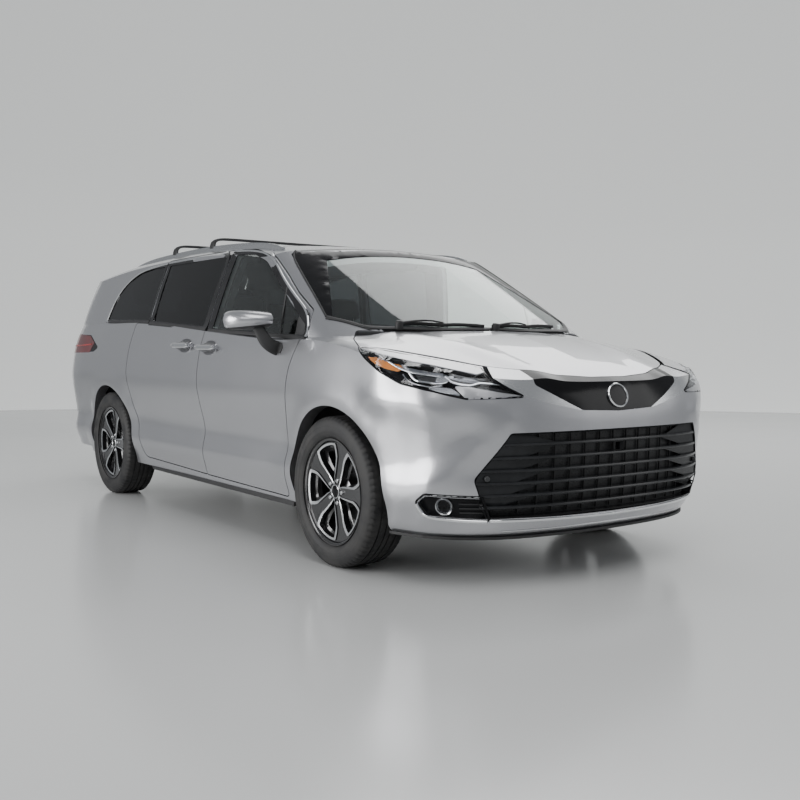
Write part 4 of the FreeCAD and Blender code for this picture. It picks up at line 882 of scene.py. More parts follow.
windowCorner = [(1292, 1122, 4), (1294, 1180, 20), (1240, 1268, 30), (1176, 1240, 60), (1168, 1124, 6)]
for side, hand in hands:
    for key, window in windows.items():
        body = "door_" + hand if key == "front" else "body"
        tag = "_%s_%s" % (key, hand)
        sheet = flankSheet(side, *window["sheet"])
        patch("windowFrame" + tag, body, frameBlack, rounded(window["frame"], 0.04, -0.0015), sheet,
              windowTrim["frameLift"], 0.005, 0.03, rounded(window["glass"], 0.04, -0.004))
        laidStrip("windowBright" + tag, body, chrome, sampled(window["top"], sheet, 0.025),
                  bead(*windowTrim["chrome"]))
        laidStrip("windowBelt" + tag, body, blackPlastic, sampled(window["belt"], sheet, 0.05),
                  flat(*windowTrim["belt"]))
        if key == "front":
            laidStrip("windowBar_" + hand, body, blackPlastic, sampled(windowBar, sheet, 0.03),
                      flat(0.014, 0.004))
            patch("windowCorner_" + hand, body, blackPlastic, rounded(windowCorner), sheet, 0.0024, 0.006,
                  0.03)


# Headlamps: clear lens over a dark housing with light guides, an amber wedge and a lower module.
print("front")
lamp = {
    "outline": [(-1093, 1075, 0), (-1130, 1053, 20), (-1169, 1026, 30), (-1278, 965, 60), (-1401, 914, 100),
                (-1552, 887, 100), (-1710, 854, 40), (-1922, 860, 6), (-1712, 984, 0), (-1552, 1012, 0),
                (-1394, 1038, 0), (-1240, 1061, 0)],
    "housingDepth": 0.034,
    "plates": {  # finish, lift, depth, grid and outline
        "lampBowl_": (reflector, -0.024, 0.003, 0.03,
                      [(-1120, 1055, 6), (-1240, 1035, 0), (-1394, 1010, 0), (-1560, 985, 0),
                       (-1700, 955, 20), (-1790, 925, 20), (-1720, 930, 20), (-1600, 956, 10),
                       (-1450, 968, 10), (-1392, 978, 0), (-1225, 1046, 0)]),
        "lampAmber_": (amber, -0.008, 0.004, 0.02,
                       [(-1183, 1037, 4), (-1235, 1035, 6), (-1312, 1017, 10), (-1390, 975, 4),
                        (-1372, 969, 4), (-1308, 980, 20), (-1245, 998, 20), (-1200, 1018, 10)]),
        "lampShade_": (amber, -0.019, 0.003, 0.02,
                       [(-1316, 1012, 4), (-1372, 1002, 4), (-1400, 982, 4), (-1390, 978, 0)]),
        "lampCell_0_": (darkPlastic, -0.020, 0.004, 0.02,
                        [(-1460, 962, 4), (-1594, 950, 4), (-1580, 924, 8), (-1482, 936, 8)]),
        "lampCell_1_": (darkPlastic, -0.020, 0.004, 0.02,
                        [(-1626, 946, 4), (-1738, 930, 4), (-1716, 918, 6), (-1652, 930, 6)]),
        "lampCell_2_": (darkPlastic, -0.020, 0.004, 0.02,
                        [(-1760, 918, 4), (-1890, 886, 4), (-1880, 872, 4), (-1740, 904, 4)]),
        "lampBlock_": (satinMetal, -0.007, 0.006, 0.02,
                       [(-1574, 950, 4), (-1614, 948, 4), (-1624, 930, 4), (-1600, 918, 4), (-1570, 928, 4)]),
        "lampModule_": (reflector, -0.014, 0.004, 0.02,
                        [(-1540, 908, 10), (-1640, 902, 10), (-1664, 890, 10), (-1690, 866, 4),
                         (-1560, 892, 14)]),
        "lamp_topStrip_": (paint, 0.0016, 0.005, 0.03,
                           [(-1093, 1079, 0), (-1240, 1065, 0), (-1394, 1042, 0), (-1552, 1016, 0),
                            (-1712, 988, 0), (-1742, 966, 0), (-1727, 958, 0), (-1527, 997, 0),
                            (-1329, 1031, 0), (-1106, 1070, 0)]),
        "lamp_tongue_": (paint, 0.0016, 0.005, 0.03,
                         [(-1655, 908, 6), (-1722, 903, 0), (-1825, 881, 0), (-1882, 871, 0), (-1924, 859, 0),
                          (-1712, 851, 0)]),
    },
    "strips": {  # finish, width, height, sink, step and line
        "lampLedge_": (satinMetal, 0.009, 0.004, 0.008, 0.012,
                       [(-1205, 1056), (-1300, 1020), (-1388, 980), (-1450, 966), (-1535, 957),
                        (-1590, 950)]),
        "lampGuide_0_": (chrome, 0.009, 0.006, 0.012, 0.008,
                         [(-1436, 966), (-1450, 948), (-1474, 931), (-1520, 926), (-1600, 917),
                          (-1622, 932)]),
        "lampGuide_1_": (chrome, 0.009, 0.006, 0.012, 0.008,
                         [(-1606, 950), (-1632, 932), (-1652, 924), (-1722, 911), (-1750, 926), (-1782, 922),
                          (-1830, 918)]),
        "lampGuide_2_": (chrome, 0.005, 0.006, 0.012, 0.008,
                         [(-1402, 958), (-1420, 940), (-1448, 922), (-1500, 911), (-1545, 905)]),
        "lampGuide_3_": (chrome, 0.004, 0.006, 0.012, 0.008, [(-1640, 960), (-1700, 949), (-1770, 936)]),
        "lampModuleEdge_": (chrome, 0.004, 0.003, 0.012, 0.012,
                            [(-1600, 912), (-1556, 908), (-1538, 900), (-1552, 892), (-1640, 876)]),
    },
}
for side, hand in hands:
    caster = corner(side)
    outline = rounded(lamp["outline"])
    patch("lampLens_" + hand, "body", lampGlass, shifted(outline, -0.001), caster, 0.0, 0.003, 0.025)
    back = patch("lampBack_" + hand, "body", glossBlack, shifted(outline, 0.001), caster,
                 -lamp["housingDepth"], 0.003, 0.03)
    if side > 0:
        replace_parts(back, "headlamps")
    edge = [caster(p.x, p.y) for p in outline]
    walls = [place - normal * depth for depth in (0.002, lamp["housingDepth"]) for place, normal in edge]
    count = len(edge)
    faces = [(i, (i + 1) % count, (i + 1) % count + count, i + count) for i in range(count)]
    placed("lampWall_" + hand, "body", glossBlack, walls, faces, 30)
    laidStrip("lampRim_" + hand, "body", glossBlack, edge, flat(0.009, 0.0016), closed=True)
    for name, (finish, lift, depth, grid, points) in lamp["plates"].items():
        patch(name + hand, "body", finish, rounded(points, grid), caster, lift, depth, grid)
    for name, (finish, width, height, sink, step, points) in lamp["strips"].items():
        laidStrip(name + hand, "body", finish, sunk(sampled(points, caster, step), sink), bead(width, height))

# Lower grille: slats that follow the nose, facets at both ends and a mesh panel behind them.
grille = {"slatLevels": [0.652, 0.593, 0.537, 0.482, 0.428, 0.376], "slatHeight": 0.011, "slatDepth": 0.040,
          "slatSteps": 44, "panelDepth": 0.050,
          "edge": [(0.612, 0.704), (0.752, 0.500), (0.722, 0.400), (0.690, 0.328)], "bars": 13,
          "barPitch": 0.09, "pitch": 0.046, "frameLevels": [0.382 + 0.046 * i for i in range(7)]}


# Half width of the opening at a level.
def grilleHalfWidth(z):
    points = grille["edge"]
    for (y0, z0), (y1, z1) in zip(points, points[1:]):
        if z0 >= z >= z1:
            return y0 + (y1 - y0) * (z0 - z) / (z0 - z1)
    return points[0][0] if z > points[0][1] else points[-1][0]


# Point of the nose across the opening, between the levels where the frame has a bar.
def noseAt(y, z):
    levels = grille["frameLevels"]
    low = min(max(int((z - levels[0]) / grille["pitch"]), 0), len(levels) - 2)
    a = frontAt(y, levels[low])[0]
    b = frontAt(y, levels[low + 1])[0]
    if a is None or b is None:
        return None, None
    ahead = frontAt(y + 0.02, levels[low])[0]
    slope = (ahead.x - a.x) / 0.02 if ahead is not None else 0
    x = a.x + (b.x - a.x) * ((z - levels[low]) / grille["pitch"])
    return Vector((x, y, z)), Vector((1, -slope, 0)).normalized()


# Slats and end facets as one mesh.
def grilleSlats():
    parts = []
    h = grille["slatHeight"] / 2
    back = grille["slatDepth"]
    steps = grille["slatSteps"]
    section = [(-0.010, -h - 0.002), (-0.004, -h), (-0.001, 0), (-0.003, h), (-back, h + 0.004), (-back, -h)]
    for level in grille["slatLevels"]:
        reach = grilleHalfWidth(level) - 0.004
        line = [noseAt(reach * (2 * i / steps - 1), level)[0] for i in range(steps + 1)]
        rings = [[place + Vector((x, 0, z)) for x, z in section] for place in line]
        parts.append((*loftRings(rings, caps=(True, True)), 0))
    levels = [0.700] + grille["slatLevels"]
    for row, (top, bottom) in enumerate(zip(levels, levels[1:])):
        innerTop, innerBottom = (0.300 + 0.028 * row, 0.500 + 0.025 * row) if row else (0.52, 0.36)
        high = top - 0.004
        low = bottom + 0.004
        for side, hand in hands:
            corners = []
            for y, z, depth in ((grilleHalfWidth(top) - 0.003, high, 0.006), (innerTop, high, 0.034),
                                (innerBottom, low, 0.016), (grilleHalfWidth(bottom) - 0.003, low, 0.006)):
                corners.append(noseAt(side * y, z)[0] - Vector((depth, 0, 0)))
            middle = corners[0].lerp(corners[1], 0.5)
            middle.x = noseAt(middle.y, middle.z)[0].x - 0.018
            corners.insert(1, middle)
            parts.append((*prism(corners, [p - Vector((0.004, 0, 0)) for p in corners]), 0))
    piece = joined("grilleSlats", parts, [gunmetal], 25)
    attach(piece, "body")
    return piece


# Mesh panel behind the slats, with upright bars and a rim.
def grillePanel():
    outline = [Vector((-y, z)) for y, z in grille["edge"]]
    outline += [Vector((y, z)) for y, z in reversed(grille["edge"])]
    outline = thinned(shifted(outline, -0.002), 0.08)
    patch("grilleMesh", "body", meshPanelShadedCells, outline, noseAt, -grille["panelDepth"], 0.004, 0.08)
    for i in range(grille["bars"]):
        y = grille["barPitch"] * (i - grille["bars"] // 2)
        samples = [noseAt(y, z) for z in (0.34, 0.40, 0.50, 0.60, 0.695)]
        laidStrip("grilleBar_%d" % i, "body", blackPlastic, sunk(samples, 0.042), flat(0.007, 0.006))
    rim = [noseAt(p.x, p.y) for p in thinned(shifted(outline, 0.0), 0.05)]
    laidStrip("grilleRim", "body", glossBlack, sunk(rim, 0.010),
              [(-0.004, -0.038), (-0.004, 0.008), (0.004, 0.008), (0.004, -0.038)], closed=True)


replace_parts(grilleSlats(), "lower_grille")
grillePanel()


# Turned piece about a normal from (radius, height) points, stretched across by a share.
def roundBoss(name, body, centre, normal, profile, finish, steps=40, wide=1.0):
    turn = normal.to_track_quat("Z", "Y").to_matrix()
    rings = [[centre + turn @ Vector((r * c * wide, r * s, h)) for r, h in profile] for c, s in circle(steps)]
    placed(name, body, finish, *loftRings(rings + rings[:1]))


# Bare ring and disc on the nose, sensors, a camera block and the bright lines under the grille.
nose = {"disc": (0, 0.857), "discWide": 1.14, "sensor": (0.700, 0.505), "camera": (0.017, 0.622),
        "chrome": [(-668, 322), (-329, 315.5), (-86, 311), (86, 311), (329, 315.5), (668, 322)], "lip": 0.262}


def noseDetails():
    place, normal = frontAt(*nose["disc"])
    ring = [(0.058, -0.010), (0.058, 0.006), (0.055, 0.0095), (0.051, 0.008), (0.049, 0.003), (0.049, -0.006)]
    roundBoss("noseRing", "body", place, normal, ring, chrome, 64, nose["discWide"])
    face = [(0.0001, 0.004), (0.030, 0.0045), (0.049, 0.003), (0.050, -0.008), (0.0001, -0.008)]
    roundBoss("noseDisc", "body", place, normal, face, glossBlack, 64, nose["discWide"])
    dot = [(0.0001, 0.003), (0.010, 0.003), (0.012, 0.001), (0.012, -0.012), (0.0001, -0.012)]
    for side, hand in hands:
        place, normal = noseAt(side * nose["sensor"][0], nose["sensor"][1])
        roundBoss("noseSensor_" + hand, "body", place, normal, dot, darkPlastic, 24)
    place, _ = noseAt(*nose["camera"])
    box = [(-0.012, -0.017), (-0.012, 0.017), (0.012, 0.017), (0.012, -0.017)]
    rings = [[place + Vector((x, y * share, z * share)) for y, z in box]
             for x, share in ((-0.030, 1), (-0.004, 1), (-0.0035, 0.55))]
    placed("noseCamera", "body", glossBlack, *loftRings(rings, caps=(True, True)), 20)
    line = [(y / 1000, z / 1000, 0) for y, z in nose["chrome"]]
    samples = [frontAt(p.x, p.y - 0.006) for p in resampled(line, 0.03)]
    laidStrip("noseChrome", "body", chrome, samples, bead(0.014, 0.006))
    edge = [frontAt(-0.60 + 0.02 * i, nose["lip"]) for i in range(61)]
    laidStrip("noseLipLine", "body", satinMetal, edge, bead(0.010, 0.003))


# Fog lamp pocket: bright frame, black plate and a round lamp.
fog = {
    "frame": [(-1478, 388, 16), (-1525, 424, 16), (-1765, 418, 6), (-1782, 324, 6), (-1514, 335, 24)],
    "bright": [(-1474, 384), (-1490, 350), (-1516, 326), (-1640, 318), (-1778, 314)],
    "edge": [(-1478, 396), (-1522, 431), (-1640, 430), (-1760, 426)],
    "lamp": (-1.600, 0.378), "slats": (352, 372, 392),
    "parts": {
        "fogRing_": (satinMetal,
                     [(0.041, -0.010), (0.041, 0.008), (0.038, 0.012), (0.034, 0.008), (0.033, -0.006)]),
        "fogGlass_": (lampGlass,
                      [(0.0001, 0.007), (0.020, 0.006), (0.033, 0.002), (0.033, -0.002), (0.0001, -0.002)]),
        "fogBowl_": (reflector,
                     [(0.0001, -0.006), (0.012, -0.005), (0.032, 0.0), (0.032, -0.008), (0.0001, -0.008)]),
    },
}


def fogLamp(side, hand):
    caster = corner(side)
    rim = [caster(p.x, p.y) for p in shifted(rounded(fog["frame"]), 0.008)]
    laidStrip("fogFrame_" + hand, "body", glossBlack, rim, flat(0.010, 0.003), closed=True)
    laidStrip("fogBright_" + hand, "body", chrome, sampled(fog["bright"], caster, 0.012), bead(0.014, 0.006))
    laidStrip("fogEdge_" + hand, "body", satinMetal, sampled(fog["edge"], caster, 0.012), bead(0.006, 0.003))
    place, normal = caster(*fog["lamp"])
    for name, (finish, profile) in fog["parts"].items():
        roundBoss(name + hand, "body", place, normal, profile, finish)
    for i, z in enumerate(fog["slats"]):
        slat = sampled([(-1665, z), (-1770, z)], caster, 0.02, straightened)
        laidStrip("fogSlat_%d_%s" % (i, hand), "body", blackPlastic, slat, flat(0.006, 0.008))


noseDetails()
for side, hand in hands:
    fogLamp(side, hand)


print("body pieces")


# Section of (across, up) points swept along a path; it may be a function of the share of the path.
def swept(name, body, finish, path, section, up=Vector((0, 0, 1))):
    rings = []
    last = len(path) - 1
    for i, place in enumerate(path):
        along = (path[min(i + 1, last)] - path[max(i - 1, 0)]).normalized()
        across = up.cross(along).normalized()
        rise = along.cross(across).normalized()
        points = section(i / last) if callable(section) else section
        rings.append([place + across * a + rise * b for a, b in points])
    return placed(name, body, finish, *loftRings(rings, caps=(True, True)))


def oval(width, height, steps=16, power=0.75):
    return [(math.copysign(abs(c) ** power, c) * width / 2, math.copysign(abs(s) ** power, s) * height / 2)
            for c, s in circle(steps)]


# Rails along the roof's edges and two low crossbars whose ends curve down on them.
roof = {"railY": 0.679, "railWidth": 0.028, "railTop": [(-1.680, 1.660), (-1.474, 1.703), (-0.900, 1.724),
        (-0.300, 1.728), (0.200, 1.711), (0.534, 1.682), (0.630, 1.650)],
        "barX": (-0.300, -0.900), "barTop": 1.786, "barChord": 0.062, "barThick": 0.017}


def railSection(share):
    h = 0.012 * min(1, min(share, 1 - share) / 0.06 + 0.25)
    w = roof["railWidth"] / 2
    return [(-w, -0.034), (-w, -h), (-w * 0.6, 0), (w * 0.6, 0), (w, -h), (w, -0.034)]


def barSection(share):
    end = max(0, 1 - min(share, 1 - share) / 0.055)
    return oval(roof["barThick"] * (1 + 0.5 * end), roof["barChord"] * (1 + 0.10 * end))


for side, hand in hands:
    path = resampled([(x, side * roof["railY"], z) for x, z in roof["railTop"]], 0.06)
    rail = swept("roofRail_" + hand, "body", satinMetal, path, railSection)
    if side > 0:
        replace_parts(rail, "roof_rails")
for i, x in enumerate(roof["barX"]):
    top = roof["barTop"] - roof["barThick"] / 2
    half = [(0.683, 1.712), (0.684, 1.738), (0.672, 1.760), (0.640, top - 0.004), (0.590, top), (0.400, top)]
    path = resampled([(x, y, z) for y, z in half] + [(x, -y, z) for y, z in reversed(half)], 0.02)
    swept("crossbar_%d" % i, "body", blackPlastic, path, barSection, Vector((1, 0, 0)))


# Point of the top side, with the narrow gaps round the windscreen bridged from both sides.
def topBridged(x, y):
    place, normal = topAt(x, y)
    for dx, dy in ((0, 0.014), (0.014, 0)):
        a, normalA = topAt(x + dx, y + dy)
        b, normalB = topAt(x - dx, y - dy)
        if a is None or b is None:
            continue
        middle = (a + b) / 2
        if place is None or place.z < middle.z - 0.0015:
            place = Vector((x, y, middle.z))
            normal = (normalA + normalB).normalized()
    return place, normal


# Black border of the windscreen that covers the inner edge of the pillars and of the roof.
screen = {
    "outer": [(0.762, 0.0), (0.758, 0.30), (0.746, 0.52), (0.740, 0.660), (0.762, 0.700), (0.979, 0.752),
              (1.200, 0.799), (1.356, 0.834), (1.384, 0.836), (1.470, 0.772), (1.566, 0.698), (1.625, 0.500),
              (1.666, 0.304), (1.672, 0.0)],
    "inner": [(0.886, 0.0), (0.886, 0.556), (0.905, 0.566), (1.378, 0.822), (1.400, 0.812), (1.552, 0.688),
              (1.575, 0.640), (1.654, 0.304), (1.662, 0.0)],
}


def windscreenBorder():
    outer, inner = [[Vector(p) for p in half] + [Vector((x, -y)) for x, y in reversed(half[1:-1])]
                    for half in (screen["outer"], screen["inner"])]
    patch("screenBorder", "body", glossBlack, thinned(outer, 0.05), topBridged, 0.0024, 0.005, 0.04,
          thinned(shifted(inner, -0.012), 0.05))
    for side, hand in hands:
        line = [(x, y * side, 0) for x, y in screen["outer"][3:8]]
        samples = [topBridged(p.x, p.y) for p in resampled(line, 0.03)]
        laidStrip("screenSeal_" + hand, "body", blackPlastic, sunk(samples, -0.0015), flat(0.010, 0.004))
    half = screen["outer"][8:]
    low = [(x, y, 0) for x, y in half] + [(x, -y, 0) for x, y in reversed(half[:-1])]
    samples = [topAt(p.x - 0.022, p.y) for p in resampled(low, 0.04)]
    laidStrip("screenFoot", "body", blackPlastic, sunk(samples, -0.001), flat(0.026, 0.006))


# Front edge of the windscreen's foot across the vehicle.
def screenFootX(y):
    if abs(y) < 0.30:
        return 1.664
    return 1.664 - (abs(y) - 0.30) * 0.30 if abs(y) < 0.64 else 1.562 - (abs(y) - 0.64)


# Wiper parked on the foot of the windscreen: arm, blade carrier and rubber.
def wiper(name, pivot, reach, away):
    blade = []
    lip = []
    for i in range(9):
        share = i / 8
        y = pivot[1] + (reach - pivot[1]) * share
        place, normal = topAt(min(screenFootX(y) - away - 0.020 * math.sin(math.pi * share), 1.66), y)
        blade.append(place + normal * 0.012)
        lip.append(place + normal * 0.004)
    swept(name + "Blade", "body", blackPlastic, blade, oval(0.014, 0.016, 10))
    swept(name + "Rubber", "body", rubber, lip, oval(0.005, 0.010, 8))
    start = Vector((pivot[0], pivot[1], blade[0].z))
    arm = [start.lerp(blade[4], share) + Vector((0, 0, rise))
           for share, rise in ((0, 0), (0.35, 0.018), (0.8, 0.020), (1, 0.010))]
    swept(name + "Arm", "body", blackPlastic, resampled(arm, 0.03),
          lambda share: oval(0.026 - 0.014 * share, 0.014 - 0.006 * share, 10))
    cap = [(0.0001, 0.016), (0.016, 0.014), (0.021, 0.004), (0.021, -0.030), (0.0001, -0.030)]
    roundBoss(name + "Cap", "body", start, Vector((0.2, 0, 1)).normalized(), cap, blackPlastic, 24)


mirror = {
    "root": 0.996, "reach": 0.204, "frontX": 0.932, "deep": 0.182, "tipDeep": 0.105, "rearX": 0.918,
    "middleZ": 1.218, "rise": 0.054, "split": (1.02, 1.10, 1.184), "tilt": (-0.02, 0.10, 1),
    "signal": [(0.930, 1.010, 1.180), (0.932, 1.090, 1.178), (0.925, 1.170, 1.176), (0.950, 1.192, 1.180)],
    "arm": [(1.058, 0.952, 1.066), (1.060, 0.990, 1.076), (1.040, 1.030, 1.118), (1.022, 1.052, 1.190)],
    "foot": [(1.004, 1.044), (1.106, 1.040), (1.120, 1.072), (1.100, 1.096), (1.012, 1.100), (0.994, 1.070)],
    "glass": [(0.02, 0.0), (0.90, 0.04), (1.0, 0.22), (0.97, 0.85), (0.86, 0.98), (0.05, 1.0), (0.0, 0.9),
              (0.0, 0.1)],
}


# Closed mirror housing as vertices and faces.
def housing(side):
    rings = []
    for i in range(15):
        share = i / 14
        y = mirror["root"] + mirror["reach"] * (1 - (1 - share) ** 1.25)
        tip = max(1 - share ** 5, 0) ** 0.4 if share < 1 else 0.02
        foot = 0.88 + 0.12 * math.sin(math.pi * min(share * 1.4, 1) / 2)
        front = mirror["frontX"] + (mirror["deep"] - mirror["tipDeep"] * share ** 1.4) * foot * max(tip, 0.10)
        rear = mirror["rearX"] + 0.010 * (1 - share)
        middle = mirror["middleZ"] - 0.004 * share
        rise = mirror["rise"] * foot * max(tip, 0.12)
        ring = []
        for k in range(15):
            angle = math.pi * k / 14
            x = rear + (front - rear) * math.sin(angle) ** 0.62
            ring.append(Vector((x, side * y, middle - rise * math.cos(angle))))
        rings.append(ring)
    return loftRings(rings, caps=(True, True))


# Door mirror: painted cap over a black shell, with a bright line, an arm, a foot and the glass.
def doorMirror(side, hand):
    body = "door_" + hand
    vertices, faces = housing(side)
    x, y, z = mirror["tilt"]
    tilt = Vector((x, side * y, z)).normalized()
    for name, finish, upper in (("mirrorCap_", paint, True), ("mirrorShell_", blackPlastic, False)):
        mesh = bmesh.new()
        verts = [mesh.verts.new(v) for v in vertices]
        for face in faces:
            mesh.faces.new([verts[i] for i in face])
        x, y, z = mirror["split"]
        cut = sliced(mesh, Vector((x, side * y, z)), tilt, clear_inner=upper, clear_outer=not upper)
        edges = [e for e in cut["geom_cut"] if isinstance(e, bmesh.types.BMEdge)]
        bmesh.ops.holes_fill(mesh, edges=edges)
        bmesh.ops.remove_doubles(mesh, verts=mesh.verts, dist=0.0003)
        bmesh.ops.recalc_face_normals(mesh, faces=mesh.faces)
        mesh.verts.index_update()
        rows = [tuple(v.index for v in f.verts) for f in mesh.faces]
        piece = placed(name + hand, body, finish, [v.co.copy() for v in mesh.verts], rows, 32)
        mesh.free()
        if upper:
            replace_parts(piece, "mirror_" + hand)
    signal, arm = [[(x, side * y, z) for x, y, z in mirror[key]] for key in ("signal", "arm")]
    swept("mirrorSignal_" + hand, body, satinMetal, resampled(signal, 0.02), oval(0.008, 0.010, 10))
    swept("mirrorArm_" + hand, body, blackPlastic, resampled(arm, 0.012),
          lambda share: oval(0.030, 0.078 - 0.020 * share, 18, 0.8))
    foot = thinned([Vector(p) for p in mirror["foot"]], 0.03)
    patch("mirrorFoot_" + hand, body, blackPlastic, foot, flank(side), 0.004, 0.008, 0.03)
    glass = [Vector((0.9145, side * (1.012 + 0.172 * u), 1.178 + 0.080 * v)) for u, v in mirror["glass"]]
    placed("mirrorGlass_" + hand, body, mirrorGlass,
           *prism(glass, [p + Vector((0.012, 0, 0)) for p in glass]), 30)


# Bright grip over the door's pull bar, in an oval cup whose recess is a flat patch painted in a darker metal
# than the body paint, as painted shade.
grip = {"front": (0.230, 1.070), "sliding": (-0.130, 1.082), "length": 0.250, "height": 0.032,
        "width": 0.0235,
          "cup": (0.176, 0.088), "gripY": 0.9925}


def doorHandle(key, side, hand):
    x, z = grip[key]
    body = "door_" + hand if key == "front" else "body"
    tag = "_%s_%s" % (key, hand)
    cup = [Vector((x - 0.006 + u, z - 0.002 + v)) for u, v in oval(*grip["cup"], 28, 0.8)]
    # Painted shade: the cup is a flat patch in a darker metal, standing in for the shade in the recess.
    patch("handleCupShade" + tag, body, cupPaintedShade, cup, flank(side), 0.0012, 0.004, 0.03)
    rim = []
    for p in shifted(cup, 0.001):
        place, normal = sideAt(p.x, p.y, side)
        if abs(place.y) > 0.978:  # on the pull bar
            place = Vector((place.x, side * 0.958, place.z))
            normal = Vector((0, side, 0))
        rim.append((place, normal))
    laidStrip("handleRim" + tag, body, paint, rim, bead(0.006, 0.003), closed=True)
    path = []
    for i in range(17):
        share = i / 16
        y = grip["gripY"] + 0.0015 * math.sin(math.pi * share)
        path.append(Vector((x + grip["length"] * (share - 0.5), side * y, z)))
    swept("handleGrip" + tag, body, chrome, path,
          lambda share: oval(grip["width"] * (0.55 + 0.45 * min(1, min(share, 1 - share) / 0.08)),
                             grip["height"] * (0.45 + 0.55 * min(1, min(share, 1 - share) / 0.12)), 18, 0.7))


windscreenBorder()
wiper("wiperRight", (1.596, -0.545), -0.020, 0.030)
wiper("wiperLeft", (1.668, 0.040), 0.560, 0.030)
for side, hand in hands:
    doorMirror(side, hand)
    for key in ("front", "sliding"):
        doorHandle(key, side, hand)

# Tail lamps, the tailgate's handle bar, wiper and high lamp, and the dark lower cover of the bumper.
print("rear")
rear = {
    "lens": [(-1790, 1100, 8), (-1928, 1152, 60), (-2200, 1170, 0), (-2380, 1172, 0), (-2380, 1020, 0),
             (-1850, 1028, 20)],
    "guide": [(-1850, 1090), (-1960, 1082), (-2360, 1076)],
    "gateGuide": [(0.640, 1.120), (0.560, 1.116), (0.420, 1.110), (0.200, 1.108), (0.004, 1.108)],
    "reversing": [(440, 1058, 6), (640, 1056, 6), (640, 1036, 6), (470, 1038, 6)],
    "reflector": [(0.640, 0.520), (0.700, 0.524), (0.760, 0.530), (0.815, 0.540)],
    "plate": [(-170, 830, 6), (170, 830, 6), (170, 980, 6), (-170, 980, 6)],
    "lower": [(-780, 303, 10), (780, 303, 10), (850, 352, 40), (760, 420, 60), (-760, 420, 60),
              (-850, 352, 40)],
    "wiperLevel": 1.235, "pivot": (0.0, 1.200),
}


# Strip across the rear along points (y, z), lifted off the skin.
def rearStrip(name, body, finish, points, section, lift=0.001):
    laidStrip(name, body, finish, sunk([rearAt(y, z) for y, z in points], -lift), section)


for side, hand in hands:
    patch("rearLens_" + hand, "body", lensRed, rounded(rear["lens"]), flank(side), 0.0016, 0.006, 0.03)
    laidStrip("rearGuide_" + hand, "body", guideRed, sampled(rear["guide"], flank(side), 0.03),
              bead(0.012, 0.0050))
    gate, low = [[(side * y, z) for y, z in rear[key]] for key in ("gateGuide", "reflector")]
    rearStrip("gateGuide_" + hand, "tailgate", guideRed, gate, bead(0.010, 0.0050))
    rearStrip("rearReflector_" + hand, "body", lensRed, low, flat(0.034, 0.005))
    clear = [Vector((p.x * side, p.y)) for p in rounded(rear["reversing"])]
    patch("reversing_" + hand, "tailgate", lensClear, clear, rearAt, 0.0016, 0.006, 0.03)
patch("plateBack", "tailgate", blackPlastic, rounded(rear["plate"], 0.05), rearAt, 0.0015, 0.005, 0.04)
patch("rearLower", "body", blackPlastic, rounded(rear["lower"], 0.04), rearAt, 0.0020, 0.006, 0.05)
rearStrip("gateHandle", "tailgate", chrome, [(0.1 * i, 1.018) for i in range(-3, 4)], bead(0.030, 0.012),
          0.002)
rearStrip("rearLowerEdge", "body", satinMetal, [(0.148 * i, 0.424) for i in range(-5, 6)], bead(0.014, 0.006))
rearStrip("highLamp", "tailgate", lensRed, [(0.08 * i, 1.600) for i in range(-2, 3)], flat(0.016, 0.005))
points = sunk([rearAt(0.06 * i, rear["wiperLevel"]) for i in range(-5, 6)], -0.014)
points = [place for place, normal in points]
swept("rearWiper", "tailgate", blackPlastic, points, oval(0.014, 0.020, 10))
pivot, normal = rearAt(*rear["pivot"])
cap = [(0.0001, 0.024), (0.020, 0.022), (0.026, 0.010), (0.026, -0.006), (0.0001, -0.006)]
roundBoss("rearWiperCap", "tailgate", pivot, normal, cap, blackPlastic, 24)
arm = [pivot.lerp(points[3], share) + normal * rise for share, rise in ((0, 0.016), (0.5, 0.020), (1, 0.006))]
swept("rearWiperArm", "tailgate", blackPlastic, resampled(arm, 0.02), oval(0.012, 0.012, 10))


# Padded seats: cushions, backs and head restraints, blown up as cloth, scaled to the seats' sizes and sewn.
print("seats")
seatRows = {
    "front_seats": {"x": 0.130, "y": 0.380, "width": 0.510, "level": 0.330, "places": 1, "railDrop": 0.002},
    "middle_seats": {"x": -0.780, "y": 0.380, "width": 0.480, "level": 0.330, "places": 1, "railDrop": 0.002},
    "rear_bench": {"x": -1.560, "y": 0.0, "width": 1.240, "level": 0.480, "places": 3, "railDrop": -0.002},
}
seat = {"lean": 20, "cushionLow": 0.236, "cushionHigh": 0.352, "cushionHalf": 0.243,
        "backFoot": (-0.240, 0.300), "backHigh": 0.628, "backFront": 0.050, "backRear": -0.062,
        "restLow": 0.676, "restHigh": 0.842, "restHalf": 0.122, "voxel": 0.010, "travel": 0.024,
        "pressure": 4, "stiffness": 15, "frames": 20, "seamWidth": 0.010, "seamDepth": 0.006,
        "cushionSeams": (-0.06, 0.10), "backSeams": (0.20, 0.36, 0.50), "stalkY": {"a": -0.054, "b": 0.054},
        "baseLow": 0.050, "baseHigh": 0.244, "baseFlare": 0.86}


